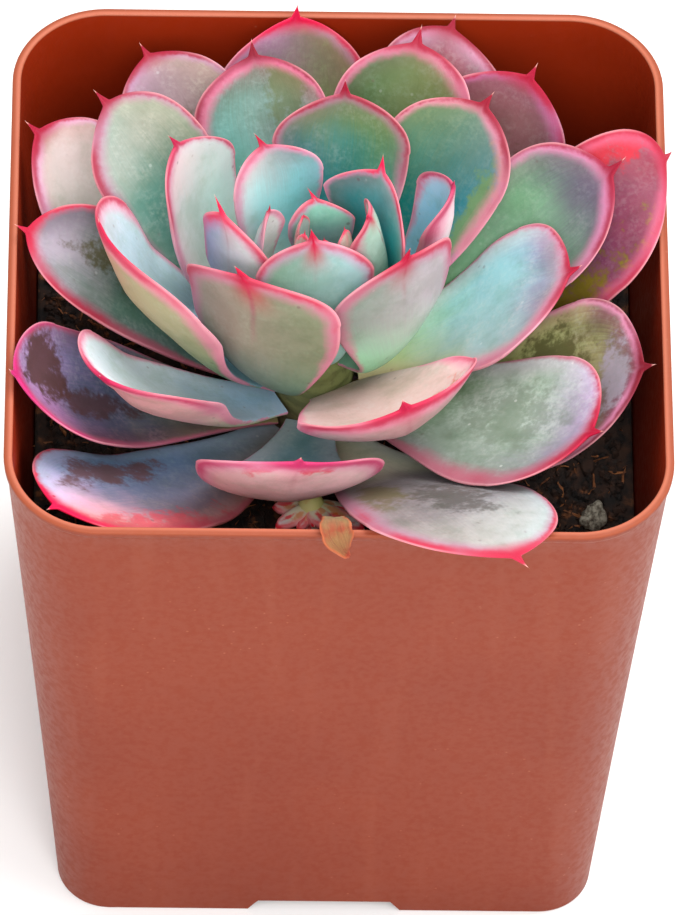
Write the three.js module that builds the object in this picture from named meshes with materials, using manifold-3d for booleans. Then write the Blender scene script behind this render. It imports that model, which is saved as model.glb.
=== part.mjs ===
// Potted Echeveria laurensis: a rosette of 34 leaves in a square nursery pot,
// with an offset plant, a dried leaf and a few perlite grains.
// Millimetres, +Z up. The plant and pot are laid out round the pot's own axis with the
// pot's feet at z = 0, and the whole is then centred on its bounding box.
import * as THREE from 'three';
import { mergeVertices } from 'three/addons/utils/BufferGeometryUtils.js';
import Module from 'manifold-3d';

const wasm = await Module();
wasm.setup();

// Pot
const RIM_HALF = 45;
const POT_HEIGHT = 101;
const FOOT_HALF = 38;
const RIM_CORNER = 13;
const FOOT_CORNER = 7.5;
const WALL = 0.9;
const LIP_OUT = 0.3;
const LIP_HEIGHT = 1.2;
const FLOOR_UNDER = 2.8;
const FLOOR_TOP = 4.4;
const NOTCH_WIDTH = 22;
const NOTCH_RAMP = 1.6;
const NOTCH_HEIGHT = 2.6;
const DRAIN_RADIUS = 3.2;
const DRAIN_SPREAD = 19;
const CORNER_STEPS = 6;
const LIP_ROUND = 0.25;
const FLOOR_ROUND = 1.5;
const FLOOR_RISE = 2;

// Space left between pieces that touch
const CLEAR = 0.3;

// Soil, its top measured down from the rim
const SOIL_TOP = POT_HEIGHT - 32;
const SOIL_RELIEF = 0.8;
const SOIL_STEPS = [0, 0.1, 0.25, 0.42, 0.6, 0.78, 0.92, 1];
const SIDE_PARTS = 5;
const BARK_CHIPS = 26;
const BARK_LONG = [3.5, 7.5];
const BARK_THICK = 1.4;
const BARK_TILT = 0.2;
const BARK_FREE_RADIUS = 15;
const SEED = 20831;

// Perlite grains on the soil: x, y, radius
const PERLITE = [[37.4, 17.5, 1.9], [35.6, -19.5, 2.3], [-36.4, -14.5, 1.7], [-33.5, 25.5, 1.6]];
const PERLITE_DENT = 0.8;
const PERLITE_CORE = 0.85;
const CRUMPLE = 0.5;

// Stem: [height from the rim, radius]; it stands at STEM_AT
const STEM_AT = new THREE.Vector2(-3, -4.5);
const STEM_PROFILE = [[-46, 4.6], [-44, 5.5], [-16, 5.5], [-10, 4.6], [-5, 3.3], [-1, 2.0], [1, 1.1]];
const STEM_SIDES = 14;
const LEAF_SEAT = 0.55;

// Leaves. Tips are placed by azimuth and reach round ROSETTE_AT and by rise from the rim.
const ROSETTE_AT = new THREE.Vector2(-2, -3);
const WIDEST = 0.7;
const BASE_WIDTH = 0.28;
const OUTLINE_RISE = 1.45;
const SHOULDER_ROUND = 0.7;
const SPIKE_TAPER = 1.5;
const BODY_AT_BASE = 0.55;
const BODY_SWELL_END = 0.8;
const TIP_THINNING = 0.3;
const THINNING_ROUND = 0.55;
const UPPER_SHARE = 0.32;
const SPINE_PULL = 0.4;
const ROLL_DONE = 0.5;
const LEAF_SECTIONS = [0, 0.1, 0.24, 0.38, 0.52, 0.65, 0.76, 0.85, 0.91, 0.95, 0.975, 1];
const LEAF_SIDES = 10;
// Each layer's thickness, how square its leaves end, where their shoulders close (share of the
// length), and the width and length of their spikes (shares of half width and length)
const OUTER = { thick: 2.6, blunt: 2.3, shoulder: 0.953, spike: 0.28, spikeLength: 0.13, color: 0x9d94a6 };
const MIDDLE = { thick: 2.6, blunt: 2.5, shoulder: 0.94, spike: 0.31, spikeLength: 0.15, color: 0x9fbfae };
const INNER = { thick: 2.1, blunt: 2.4, shoulder: 0.92, spike: 0.34, spikeLength: 0.2, color: 0x7fb5a2 };
const HEART = { thick: 1.7, blunt: 1.6, shoulder: 0.91, spike: 0.28, spikeLength: 0.19, color: 0x6fae9c };

// azimuth and pitches in degrees, the rest in mm: azimuth, reach, rise, root, width,
// pitch at the root, pitch at the tip, cup, roll, swing of the middle, skew of the tip
const OUTER_LEAVES = [
  [221.9, 52.2, -2, -26.1, 23.6, 10.5, 33.3, 0.2, -9.9, -2.8, -2.6],
  [204.3, 46.2, 4.4, -23.3, 19.6, 17.8, 60.4, 3.1, 7.7, 3.3, 1],
  [169.9, 43.1, 2.4, -20.8, 16.4, 19.5, 22.8, 2.2, 5.2, 0.4, 0.5],
  [147.7, 48.3, 3.3, -25.4, 19.5, -5.5, 41.1, 0.5, -0.9, 2.2, -0.6],
  [121.4, 49, 0.3, -21.5, 17.5, 9.1, 9.5, 3.1, 10.9, 0.4, -0.1],
  [94, 45, 5.4, -26, 24, 6.6, 80.7, 2.5, -18.8, -3.6, -0.5],
  [69, 49.7, 1.8, -28.9, 20.7, -7.9, -7.4, 2.6, -20.8, 3.8, 0.6],
  [47.7, 44.6, 7, -22.3, 21.4, 10, 48, -0.3, -30.7, -1.9, -0.9],
  [18.2, 53.3, 0.1, -26.3, 20.3, -4.3, -46.5, 1.3, -16.5, 1.4, -7.8],
  [341.6, 47.3, 4, -24, 25, 16.4, 40.7, 1.2, -12.4, 0.7, 0.9],
  [295.9, 57.9, 6, -25.5, 25.4, 20.1, 8.1, -0.4, 13.4, -0.4, -1.8],
  [264.9, 35.4, 8.5, -21.9, 25.4, 7.4, 74, 2.8, -5.5, 2.9, 0.1],
];
const MIDDLE_LEAVES = [
  [214.8, 37.1, 7.6, -19.8, 20.9, 20.3, 59.3, 4, -18.7, 1.7, -0.2],
  [185.9, 30.8, 15.6, -16.9, 27.3, 40.6, 70.4, 4.8, -24, -1.4, 2.3],
  [141.9, 41.1, 9.4, -19.3, 16.5, 33.3, 5.5, 0.8, 29.8, -0.6, 0.9],
  [106.8, 37.4, 8.6, -16.6, 19.1, 29.2, 47.8, 2.6, 20.6, 0.9, 0.7],
  [72.1, 41.8, 7.6, -18.6, 19.2, 19.6, 23.6, 2.2, -5, 2.3, 0.6],
  [48.2, 34, 11.4, -15.5, 18.5, 15.6, 41.2, 3.3, -12.2, -0.3, 0.6],
  [19.4, 44.1, 8.5, -19.8, 20.6, 18.3, 35.6, 3.5, -8.8, -0.8, -1.6],
  [357.3, 35, 5.7, -16.2, 23.8, 18.3, 34.5, 1.8, 9, -0.8, -1.3],
  [324.4, 46.1, 3.9, -19.7, 23.5, 34.1, 43.4, 1.7, -4.4, 0.2, 0.2],
  [294.3, 27.9, 9.3, -15.5, 26.5, 53.3, 97.9, 4.6, 0.3, 0.2, 1.5],
];
const INNER_LEAVES = [
  [228.4, 17, 19.3, -11.9, 23, 19.8, 64.2, 2.1, -18, -1.3, 1.7],
  [322.8, 13.6, 18.4, -9.6, 19.6, 10, 74.8, 1.9, 23.9, -0.2, -0.8],
  [83.2, 23.5, 15.7, -13.4, 18.7, 56.2, 82.9, 2.1, -7.4, 0.1, -0.2],
  [145.3, 22.6, 20.8, -14.2, 16.1, 31.3, 79.2, 1.8, -7.9, -3.4, -4.7],
  [13.4, 17.1, 20.5, -11.9, 9.7, 30, 92.5, 3.6, 16.6, -2, 1.7],
  [120.7, 14.7, 18.7, -9.3, 13.6, 40.4, 59.3, 0.9, -5.4, -1.1, -2.7],
];
const HEART_LEAVES = [
  [196.5, 15.1, 20.8, -9.8, 13.3, 43, 66.8, 1.1, -35.7, 1.1, 3.8],
  [42.7, 10.2, 20.3, -7, 17.1, 40.9, 62.9, 3.1, 7.8, 3.6, 0.1],
  [258.8, 7.5, 22, -7.7, 16.3, 30.5, 82.4, 0.3, -10.6, 0, 0.8],
  [187.6, 7.7, 19.5, -4.9, 6.1, 44.3, 90.2, 1.3, 24.4, 1, -0.2],
  [325.2, 7.1, 23, -4.4, 8.5, 38.5, 77.1, 2.3, -5.3, -3.5, 2],
  [93.3, 5, 14.9, -2.8, 9.3, 62.6, 59.4, 0.2, -13.8, -0.1, -2.4],
];

// Tiny leaves of the growing tip, on a core that stands on the stem
const TIP_LEAVES = [
  [300, 4.6, 18.5, 3.2, 3.6, 60, 95, 0.4, 0, 0, 0],
  [236, 5.2, 18, 3.2, 3.2, 60, 95, 0.4, 0, 0, 0],
  [265, 3.6, 15.5, 3.8, 2.6, 70, 90, 0.3, 0, 0, 0],
  [180, 3.0, 16, 3.8, 2.8, 70, 95, 0.3, 0, 0, 0],
];
const TIP_KIND = { thick: 1.3, blunt: 1.6, shoulder: 0.93, spike: 0.25, spikeLength: 0.15, color: 0x8fbfae };
const TIP_CORE = [[1.9, 1.4], [4.5, 2.1], [7, 1.4], [9.5, 0.6]];

// Offset plant under the front leaves: its stalk, its heart and its leaflets' tips with widths
const PUP_STALK = [[-3.3, -21.5, -35], [-3.3, -21.5, -28], [-3.3, -24, -22]];
const PUP_STALK_RADIUS = 1.5;
const PUP_STALK_STEPS = 6;
const PUP_LEAFLETS = [
  [-8.2, -28, -22, 2.6],
  [-5.1, -28.2, -22.4, 1.9],
  [-2.9, -27.9, -21.6, 1.8],
  [-1, -28.7, -20.8, 3],
  [3.9, -28.8, -21, 3],
  [-8.6, -22.6, -24.6, 2.6],
  [2.4, -22.6, -25.4, 2.8],
  [-3.4, -27.4, -25.2, 2.6],
];
const PUP_LEAFLET_THICK = 1.6;
const PUP_LEAFLET_SAG = 0.4;
const PUP_LEAFLET_WIDTHS = [0.5, 0.8, 1, 1, 0.75, 0.2];
const PUP_LEAFLET_CURL = 0.2;

// Dried leaf over the front rim: spine points with half widths
const DRIED_SPINE = [
  [-0.8, -38.4, -6, 0.7],
  [-0.8, -41.4, -1.5, 1.5],
  [-0.7, -43.7, 1.1, 2],
  [-0.3, -45.7, 0.9, 2.1],
  [0.5, -46.9, -0.6, 1.4],
  [1.2, -47.2, -1.6, 0.45],
];
const DRIED_THICK = 0.8;
const DRIED_CURL = 0.25;

const COLORS = {
  pot: 0xa85a42, soil: 0x33241a, stem: 0x8a8f5f, offset: 0xb9c29a, dried: 0xb5683c, perlite: 0xb9b3a4,
};

const radians = THREE.MathUtils.degToRad;

/** A seeded random number source (mulberry32). */
function randomSource(seed) {
  let state = seed;
  return () => {
    state = (state + 0x6d2b79f5) | 0;
    let t = Math.imul(state ^ (state >>> 15), 1 | state);
    t = (t + Math.imul(t ^ (t >>> 7), 61 | t)) ^ t;
    return ((t ^ (t >>> 14)) >>> 0) / 4294967296;
  };
}

/** Joins closed rings of equal length into one body, with a fan over each end. */
function loft(rings) {
  const sides = rings[0].length;
  const points = rings.flat();
  const faces = [];
  for (let k = 0; k + 1 < rings.length; k += 1) {
    for (let j = 0; j < sides; j += 1) {
      const a = k * sides + j;
      const b = k * sides + ((j + 1) % sides);
      faces.push(a, b, b + sides, a, b + sides, a + sides);
    }
  }
  for (const [ring, turned] of [[0, true], [rings.length - 1, false]]) {
    const middle = new THREE.Vector3();
    rings[ring].forEach((p) => middle.addScaledVector(p, 1 / sides));
    points.push(middle);
    for (let j = 0; j < sides; j += 1) {
      const a = ring * sides + j;
      const b = ring * sides + ((j + 1) % sides);
      faces.push(points.length - 1, turned ? b : a, turned ? a : b);
    }
  }
  const geometry = new THREE.BufferGeometry();
  geometry.setAttribute('position', new THREE.Float32BufferAttribute(points.flatMap((p) => p.toArray()), 3));
  geometry.setIndex(faces);
  return geometry;
}

/** Turns a closed geometry into a solid for cutting and joining. */
function solid(geometry) {
  const bare = geometry.clone();
  bare.deleteAttribute('normal');
  bare.deleteAttribute('uv');
  const merged = mergeVertices(bare, 1e-4);
  return new wasm.Manifold(new wasm.Mesh({
    numProp: 3,
    vertProperties: new Float32Array(merged.attributes.position.array),
    triVerts: new Uint32Array(merged.index.array),
  }));
}

/** Turns a solid back into a geometry. */
function geometryOf(body) {
  const mesh = body.getMesh();
  const geometry = new THREE.BufferGeometry();
  geometry.setAttribute('position', new THREE.BufferAttribute(new Float32Array(mesh.vertProperties), 3));
  geometry.setIndex(new THREE.BufferAttribute(new Uint32Array(mesh.triVerts), 1));
  return geometry;
}

/** Reads a [position, value] profile at a position, with straight lines between its points. */
function readProfile(profile, at) {
  const last = profile.length - 1;
  if (at <= profile[0][0]) return profile[0][1];
  for (let k = 0; k < last; k += 1) {
    const [x0, y0] = profile[k];
    const [x1, y1] = profile[k + 1];
    if (at <= x1) return y0 + ((y1 - y0) * (at - x0)) / (x1 - x0);
  }
  return profile[last][1];
}

/** Half a leaf's width at v along it, as a share of its greatest half width. */
function leafOutline(v, kind) {
  if (v < WIDEST) {
    return BASE_WIDTH + (1 - BASE_WIDTH) * Math.sin((Math.PI / 2) * (v / WIDEST)) ** OUTLINE_RISE;
  }
  const x = Math.min((v - WIDEST) / (kind.shoulder - WIDEST), 1);
  const round = (1 - x ** kind.blunt) ** SHOULDER_ROUND;
  const spike = kind.spike * Math.min((1 - v) / kind.spikeLength, 1) ** SPIKE_TAPER;
  return Math.cbrt(round ** 3 + spike ** 3);
}

/** A leaf's thickness at v along it, as a share of its greatest thickness. */
function leafBody(v) {
  const swell = BODY_AT_BASE + (1 - BODY_AT_BASE) * Math.sin(Math.PI * Math.min(v / BODY_SWELL_END, 1));
  return swell * Math.min((1 - v) / TIP_THINNING, 1) ** THINNING_ROUND;
}

/** The rings of one leaf: a cupped blade, flat above and keeled below, with a pointed tip. */
function leafRings(row, kind) {
  const [azimuth, reach, rise, root, width, rootPitch, tipPitch, cup, roll, swing, skew] = row;
  const a = radians(azimuth);
  const tip = new THREE.Vector3(
    ROSETTE_AT.x + reach * Math.cos(a), ROSETTE_AT.y + reach * Math.sin(a), POT_HEIGHT + rise);
  const out = new THREE.Vector3(tip.x - STEM_AT.x, tip.y - STEM_AT.y, 0).normalize();
  const side = new THREE.Vector3(out.y, -out.x, 0);
  const seat = readProfile(STEM_PROFILE, root) + LEAF_SEAT;
  const start = new THREE.Vector3(STEM_AT.x, STEM_AT.y, POT_HEIGHT + root).addScaledVector(out, seat);
  const pull = SPINE_PULL * start.distanceTo(tip);
  const heading = (pitch) => out.clone().multiplyScalar(Math.cos(radians(pitch)))
    .setZ(Math.sin(radians(pitch))).multiplyScalar(pull);
  const spine = new THREE.CubicBezierCurve3(
    start,
    start.clone().add(heading(rootPitch)).addScaledVector(side, swing),
    tip.clone().sub(heading(tipPitch)).addScaledVector(side, swing),
    tip);
  return LEAF_SECTIONS.map((v) => {
    const along = spine.getTangentAt(v);
    const flat = side.clone().addScaledVector(along, -side.dot(along)).normalize();
    const up = new THREE.Vector3().crossVectors(flat, along);
    const turn = radians(roll) * Math.min(v / ROLL_DONE, 1);
    const across = flat.clone().multiplyScalar(Math.cos(turn)).addScaledVector(up, Math.sin(turn));
    const over = up.clone().multiplyScalar(Math.cos(turn)).addScaledVector(flat, -Math.sin(turn));
    const spread = leafOutline(v, kind);
    const half = (width / 2) * spread;
    const lean = skew * Math.max((v - WIDEST) / (1 - WIDEST), 0) ** 2;
    const centre = spine.getPointAt(v).addScaledVector(side, lean);
    return Array.from({ length: LEAF_SIDES }, (_, j) => {
      const angle = (2 * Math.PI * j) / LEAF_SIDES;
      const u = Math.cos(angle);
      const y = -Math.sin(angle);
      const share = y > 0 ? UPPER_SHARE : 1 - UPPER_SHARE;
      const thick = Math.min(share * kind.thick * leafBody(v), 0.9 * half);
      return centre.clone()
        .addScaledVector(across, u * half)
        .addScaledVector(over, cup * spread * spread * u * u + thick * y);
    });
  });
}

/** One leaf as a closed geometry; its last ring closes on the tip. */
function leafGeometry(row, kind) {
  const rings = leafRings(row, kind);
  const tip = rings.pop()[0];
  const geometry = loft(rings);
  const points = geometry.attributes.position;
  points.setXYZ(points.count - 1, tip.x, tip.y, tip.z);
  return geometry;
}

/** A square ring with round corners. */
function squareRing(half, corner, z) {
  const points = [];
  for (const [sx, sy, from] of [[1, 1, 0], [-1, 1, 90], [-1, -1, 180], [1, -1, 270]]) {
    for (let k = 0; k <= CORNER_STEPS; k += 1) {
      const a = radians(from + (90 * k) / CORNER_STEPS);
      points.push(new THREE.Vector3(
        sx * (half - corner) + corner * Math.cos(a), sy * (half - corner) + corner * Math.sin(a), z));
    }
  }
  return points;
}

/** The pot's outline at height z, moved inwards by inset. */
function potRing(z, inset) {
  const share = z / POT_HEIGHT;
  const half = FOOT_HALF + (RIM_HALF - LIP_OUT - FOOT_HALF) * share;
  const corner = FOOT_CORNER + (RIM_CORNER - LIP_OUT - FOOT_CORNER) * share;
  return squareRing(half - inset, corner - inset, z);
}

function makePot() {
  const lipFoot = POT_HEIGHT - LIP_HEIGHT;
  let body = solid(loft([
    potRing(FLOOR_UNDER, WALL),
    potRing(0, WALL),
    potRing(0, 0),
    potRing(lipFoot - LIP_ROUND, 0),
    potRing(lipFoot, -LIP_OUT),
    potRing(POT_HEIGHT - LIP_ROUND, -LIP_OUT),
    potRing(POT_HEIGHT, -LIP_OUT + LIP_ROUND),
    potRing(POT_HEIGHT, WALL - LIP_ROUND),
    potRing(POT_HEIGHT - LIP_ROUND, WALL),
    potRing(FLOOR_TOP + FLOOR_RISE, WALL),
    potRing(FLOOR_TOP, WALL + FLOOR_ROUND),
  ]));
  const notch = new THREE.Shape([
    new THREE.Vector2(-NOTCH_WIDTH / 2, -1),
    new THREE.Vector2(NOTCH_WIDTH / 2, -1),
    new THREE.Vector2(NOTCH_WIDTH / 2, 0),
    new THREE.Vector2(NOTCH_WIDTH / 2 - NOTCH_RAMP, NOTCH_HEIGHT),
    new THREE.Vector2(-NOTCH_WIDTH / 2 + NOTCH_RAMP, NOTCH_HEIGHT),
    new THREE.Vector2(-NOTCH_WIDTH / 2, 0),
  ]);
  const length = 2 * RIM_HALF;
  for (const turn of [0, 90]) {
    const bar = new THREE.ExtrudeGeometry(notch, { depth: length, bevelEnabled: false });
    bar.translate(0, 0, -length / 2).rotateX(Math.PI / 2).rotateZ(radians(turn));
    body = body.subtract(solid(bar));
  }
  for (const [x, y] of [[0, 0], [1, 1], [-1, 1], [-1, -1], [1, -1]]) {
    const drain = new THREE.CylinderGeometry(DRAIN_RADIUS, DRAIN_RADIUS, 3 * FLOOR_TOP, 12);
    drain.rotateX(Math.PI / 2).translate(x * DRAIN_SPREAD, y * DRAIN_SPREAD, FLOOR_TOP);
    body = body.subtract(solid(drain));
  }
  return geometryOf(body);
}

function makeStem() {
  const profile = [new THREE.Vector2(0, STEM_PROFILE[0][0])];
  STEM_PROFILE.forEach(([z, r]) => profile.push(new THREE.Vector2(r, z)));
  profile.push(new THREE.Vector2(0, STEM_PROFILE.at(-1)[0] + 0.6));
  return new THREE.LatheGeometry(profile, STEM_SIDES)
    .rotateX(Math.PI / 2)
    .translate(STEM_AT.x, STEM_AT.y, POT_HEIGHT);
}

/** Height of the soil's surface at a place. */
function soilHeight(x, y) {
  const waves = Math.sin(0.31 * x + 1.1) * Math.cos(0.27 * y - 0.4)
    + 0.6 * Math.sin(0.63 * x - 0.52 * y + 2) + 0.4 * Math.sin(1.1 * x + 0.9 * y);
  return SOIL_TOP + 0.5 * SOIL_RELIEF * waves;
}

/** A loose chunk: a simple shape with its corners pushed in and out by chance. */
function chunk(geometry, random) {
  const bare = geometry.clone();
  bare.deleteAttribute('normal');
  bare.deleteAttribute('uv');
  const shape = mergeVertices(bare, 1e-4);
  const points = shape.attributes.position;
  for (let k = 0; k < points.count; k += 1) {
    const grow = 1 + CRUMPLE * (random() - 0.5);
    points.setXYZ(k, points.getX(k) * grow, points.getY(k) * grow, points.getZ(k) * grow);
  }
  return shape;
}

/** Adds points along the long sides of a ring, so that the surface between can undulate. */
function withSidePoints(ring) {
  return ring.flatMap((p, k) => {
    const q = ring[(k + 1) % ring.length];
    const parts = p.distanceTo(q) > RIM_CORNER ? SIDE_PARTS : 1;
    return Array.from({ length: parts }, (_, j) => p.clone().lerp(q, j / parts));
  });
}

/** An upright round cutter from height z upwards. */
function holeCutter(x, y, z, radius) {
  return solid(new THREE.CylinderGeometry(radius, radius, POT_HEIGHT, STEM_SIDES)
    .rotateX(Math.PI / 2)
    .translate(x, y, z + POT_HEIGHT / 2));
}

function makeSoil() {
  const edge = withSidePoints(potRing(SOIL_TOP, WALL + CLEAR));
  const holeRing = (z) => edge.map((p) => new THREE.Vector3(p.x - STEM_AT.x, p.y - STEM_AT.y, 0)
    .setLength(STEM_PROFILE[1][1] + CLEAR)
    .add(new THREE.Vector3(STEM_AT.x, STEM_AT.y, z)));
  const middle = holeRing(0);
  let body = solid(loft([
    withSidePoints(potRing(FLOOR_TOP + CLEAR, WALL + FLOOR_ROUND + CLEAR)),
    withSidePoints(potRing(FLOOR_TOP + FLOOR_RISE + CLEAR, WALL + CLEAR)),
    ...SOIL_STEPS.map((share) => edge.map((p, k) => {
      const q = p.clone().lerp(middle[k], share);
      return q.setZ(soilHeight(q.x, q.y));
    })),
    holeRing(POT_HEIGHT + STEM_PROFILE[0][0] - CLEAR),
  ]));
  const random = randomSource(SEED);
  const reach = edge[0].x - 0.75 * BARK_LONG[1];
  for (let placed = 0; placed < BARK_CHIPS;) {
    const x = reach * (2 * random() - 1);
    const y = reach * (2 * random() - 1);
    const long = BARK_LONG[0] + (BARK_LONG[1] - BARK_LONG[0]) * random();
    const [tiltX, tiltY] = [random(), random()].map((r) => BARK_TILT * (2 * r - 1));
    const turn = new THREE.Euler(tiltX, tiltY, Math.PI * random());
    const chip = chunk(new THREE.BoxGeometry(long, 0.4 * long, BARK_THICK), random);
    const free = Math.hypot(x - STEM_AT.x, y - STEM_AT.y) > BARK_FREE_RADIUS;
    if (free && Math.hypot(x, y) < 1.2 * reach) {
      chip.applyMatrix4(new THREE.Matrix4().makeRotationFromEuler(turn).setPosition(x, y, soilHeight(x, y)));
      body = body.add(solid(chip));
      placed += 1;
    }
  }
  for (const [x, y, radius] of PERLITE) {
    body = body.subtract(holeCutter(x, y, soilHeight(x, y) - PERLITE_DENT, radius + 2 * CLEAR));
  }
  const [x, y, foot] = PUP_STALK[0];
  return geometryOf(body.subtract(holeCutter(x, y, POT_HEIGHT + foot - CLEAR, PUP_STALK_RADIUS + CLEAR)));
}

/** One perlite grain, sitting in its dent in the soil. */
function makePerlite([x, y, radius], random) {
  const grain = chunk(new THREE.IcosahedronGeometry(PERLITE_CORE * radius, 1), random);
  grain.computeBoundingBox();
  return grain.translate(x, y, soilHeight(x, y) - PERLITE_DENT + CLEAR - grain.boundingBox.min.z);
}

/** A thin blade through a line of points, with its half widths evenly along it. */
function bladeGeometry(points, halfWidths, thick, curl) {
  const spine = new THREE.CatmullRomCurve3(points);
  return loft(halfWidths.map((half, k) => {
    const at = k / (halfWidths.length - 1);
    const along = spine.getTangent(at);
    const across = new THREE.Vector3(along.y, -along.x, 0).normalize();
    const over = new THREE.Vector3().crossVectors(across, along);
    const centre = spine.getPoint(at);
    return Array.from({ length: LEAF_SIDES }, (_, j) => {
      const angle = (2 * Math.PI * j) / LEAF_SIDES;
      const u = Math.cos(angle);
      return centre.clone()
        .addScaledVector(across, u * half)
        .addScaledVector(over, curl * half * u * u - (thick / 2) * Math.sin(angle));
    });
  }));
}

/** A point given from the rim's height. */
const fromRim = ([x, y, z]) => new THREE.Vector3(x, y, POT_HEIGHT + z);

/** The offset plant: leaflets fused on a short stalk that stands in its own hole. */
function makeOffset() {
  const spine = new THREE.CatmullRomCurve3(PUP_STALK.map(fromRim));
  const heart = fromRim(PUP_STALK.at(-1));
  let body = solid(new THREE.SphereGeometry(1.2 * PUP_STALK_RADIUS, 10, 6).translate(...heart.toArray()))
    .add(tubeSolid(spine, PUP_STALK_RADIUS));
  for (const [x, y, z, width] of PUP_LEAFLETS) {
    const tip = fromRim([x, y, z]);
    const sag = heart.clone().lerp(tip, 0.5).add(new THREE.Vector3(0, 0, -PUP_LEAFLET_SAG));
    const halfWidths = PUP_LEAFLET_WIDTHS.map((share) => (share * width) / 2);
    body = body.add(solid(bladeGeometry([heart, sag, tip], halfWidths, PUP_LEAFLET_THICK, PUP_LEAFLET_CURL)));
  }
  return geometryOf(body);
}

/** A closed round bar along a line. */
function tubeSolid(spine, radius) {
  return solid(loft(Array.from({ length: PUP_STALK_STEPS + 1 }, (_, k) => {
    const centre = spine.getPoint(k / PUP_STALK_STEPS);
    const along = spine.getTangent(k / PUP_STALK_STEPS);
    const across = new THREE.Vector3().crossVectors(along, new THREE.Vector3(1, 0, 0)).normalize();
    const over = new THREE.Vector3().crossVectors(along, across);
    return Array.from({ length: LEAF_SIDES }, (_, j) => {
      const angle = (2 * Math.PI * j) / LEAF_SIDES;
      return centre.clone()
        .addScaledVector(across, radius * Math.cos(angle))
        .addScaledVector(over, radius * Math.sin(angle));
    });
  })));
}

/** The growing tip: tiny leaves fused on a core that stands on the stem. */
function makeBud() {
  const profile = TIP_CORE.map(([z, r]) => new THREE.Vector2(r, z));
  const core = new THREE.LatheGeometry(
    [new THREE.Vector2(0, TIP_CORE[0][0]), ...profile, new THREE.Vector2(0, TIP_CORE.at(-1)[0] + 0.4)],
    STEM_SIDES);
  core.rotateX(Math.PI / 2).translate(STEM_AT.x, STEM_AT.y, POT_HEIGHT);
  return geometryOf(TIP_LEAVES.reduce(
    (body, row) => body.add(solid(leafGeometry(row, TIP_KIND))), solid(core)));
}

function makeDriedLeaf() {
  const points = DRIED_SPINE.map(fromRim);
  return bladeGeometry(points, DRIED_SPINE.map(([, , , half]) => half), DRIED_THICK, DRIED_CURL);
}

const plant = new THREE.Group();

function add(name, geometry, color, roughness) {
  const mesh = new THREE.Mesh(geometry, new THREE.MeshStandardMaterial({ color, roughness, metalness: 0 }));
  mesh.name = name;
  plant.add(mesh);
}

add('pot', makePot(), COLORS.pot, 0.6);
add('soil', makeSoil(), COLORS.soil, 0.95);
add('stem', makeStem(), COLORS.stem, 0.8);
for (const [layer, rows, kind] of [
  ['outer', OUTER_LEAVES, OUTER], ['middle', MIDDLE_LEAVES, MIDDLE],
  ['inner', INNER_LEAVES, INNER], ['heart', HEART_LEAVES, HEART]]) {
  rows.forEach((row, index) => {
    add(`leaf_${layer}_${String(index + 1).padStart(2, '0')}`, leafGeometry(row, kind), kind.color, 0.7);
  });
}

add('leaf_bud', makeBud(), TIP_KIND.color, 0.7);
add('offset_plant', makeOffset(), COLORS.offset, 0.7);
add('dried_leaf', makeDriedLeaf(), COLORS.dried, 0.85);
const grainShape = randomSource(SEED + 1);
PERLITE.forEach((grain, index) => {
  add(`perlite_grain_${index + 1}`, makePerlite(grain, grainShape), COLORS.perlite, 0.9);
});

// Centre the whole on its bounding box, with its feet at z = 0
const bounds = new THREE.Box3().setFromObject(plant);
const middle = bounds.getCenter(new THREE.Vector3());
plant.children.forEach((mesh) => mesh.geometry.translate(-middle.x, -middle.y, -bounds.min.z));

export default plant;
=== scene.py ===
"""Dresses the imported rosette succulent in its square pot.

Sizes are in millimetres round the pot's own axis, with its feet at z = 0. They become
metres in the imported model's axes when a mesh is made. Colours are as a display shows
them, from 0 to 255, and become linear where a node takes them.
"""

import logging
import math
from dataclasses import dataclass, field, replace
from enum import Enum
from typing import ClassVar, Iterator, Sequence

import bpy
import numpy as np
from mathutils import Euler, Matrix, Vector


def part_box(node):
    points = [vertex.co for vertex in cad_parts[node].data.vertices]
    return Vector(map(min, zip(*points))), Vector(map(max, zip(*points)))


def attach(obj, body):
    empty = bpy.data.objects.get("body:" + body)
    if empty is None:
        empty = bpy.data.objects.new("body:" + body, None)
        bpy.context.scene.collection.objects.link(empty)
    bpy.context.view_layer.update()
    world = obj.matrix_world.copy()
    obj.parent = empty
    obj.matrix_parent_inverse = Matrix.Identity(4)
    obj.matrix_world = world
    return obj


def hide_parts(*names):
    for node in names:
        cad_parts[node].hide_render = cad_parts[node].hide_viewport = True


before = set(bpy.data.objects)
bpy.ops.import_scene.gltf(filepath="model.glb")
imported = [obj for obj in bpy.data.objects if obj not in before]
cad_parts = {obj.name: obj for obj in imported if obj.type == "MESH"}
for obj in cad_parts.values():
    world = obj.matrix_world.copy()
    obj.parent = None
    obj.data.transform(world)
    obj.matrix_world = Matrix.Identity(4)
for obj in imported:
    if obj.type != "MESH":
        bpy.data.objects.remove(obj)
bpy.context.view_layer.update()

LOG = logging.getLogger("potted_rosette")
MM = 0.001
Colour = tuple[int, int, int]
Place = tuple[float, float, float]
Points = np.ndarray
Faces = list[tuple[int, ...]]
Skin = tuple[Points, Faces]
Layers = dict[str, Points]
Socket = bpy.types.NodeSocket
Input = Socket | float | Sequence[float]

POT_LOW, POT_HIGH = (np.array(corner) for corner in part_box("pot"))
POT_ORIGIN = np.array([*(POT_LOW + POT_HIGH)[:2] / 2, POT_LOW[2]])

RIM = 101.0
STEM_AT = np.array([-3.0, -4.5])
ROSETTE_AT = np.array([-2.0, -3.0])
STEM_PROFILE = [(-46, 4.6), (-44, 5.5), (-16, 5.5), (-10, 4.6), (-5, 3.3), (-1, 2.0), (1, 1.1)]


def linear(colour: Colour) -> tuple[float, float, float, float]:
    """Turns a display colour into a linear one with an alpha of one."""
    shares = [c / 255 for c in colour]
    return (*(s / 12.92 if s <= 0.04045 else ((s + 0.055) / 1.055) ** 2.4 for s in shares), 1.0)


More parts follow.
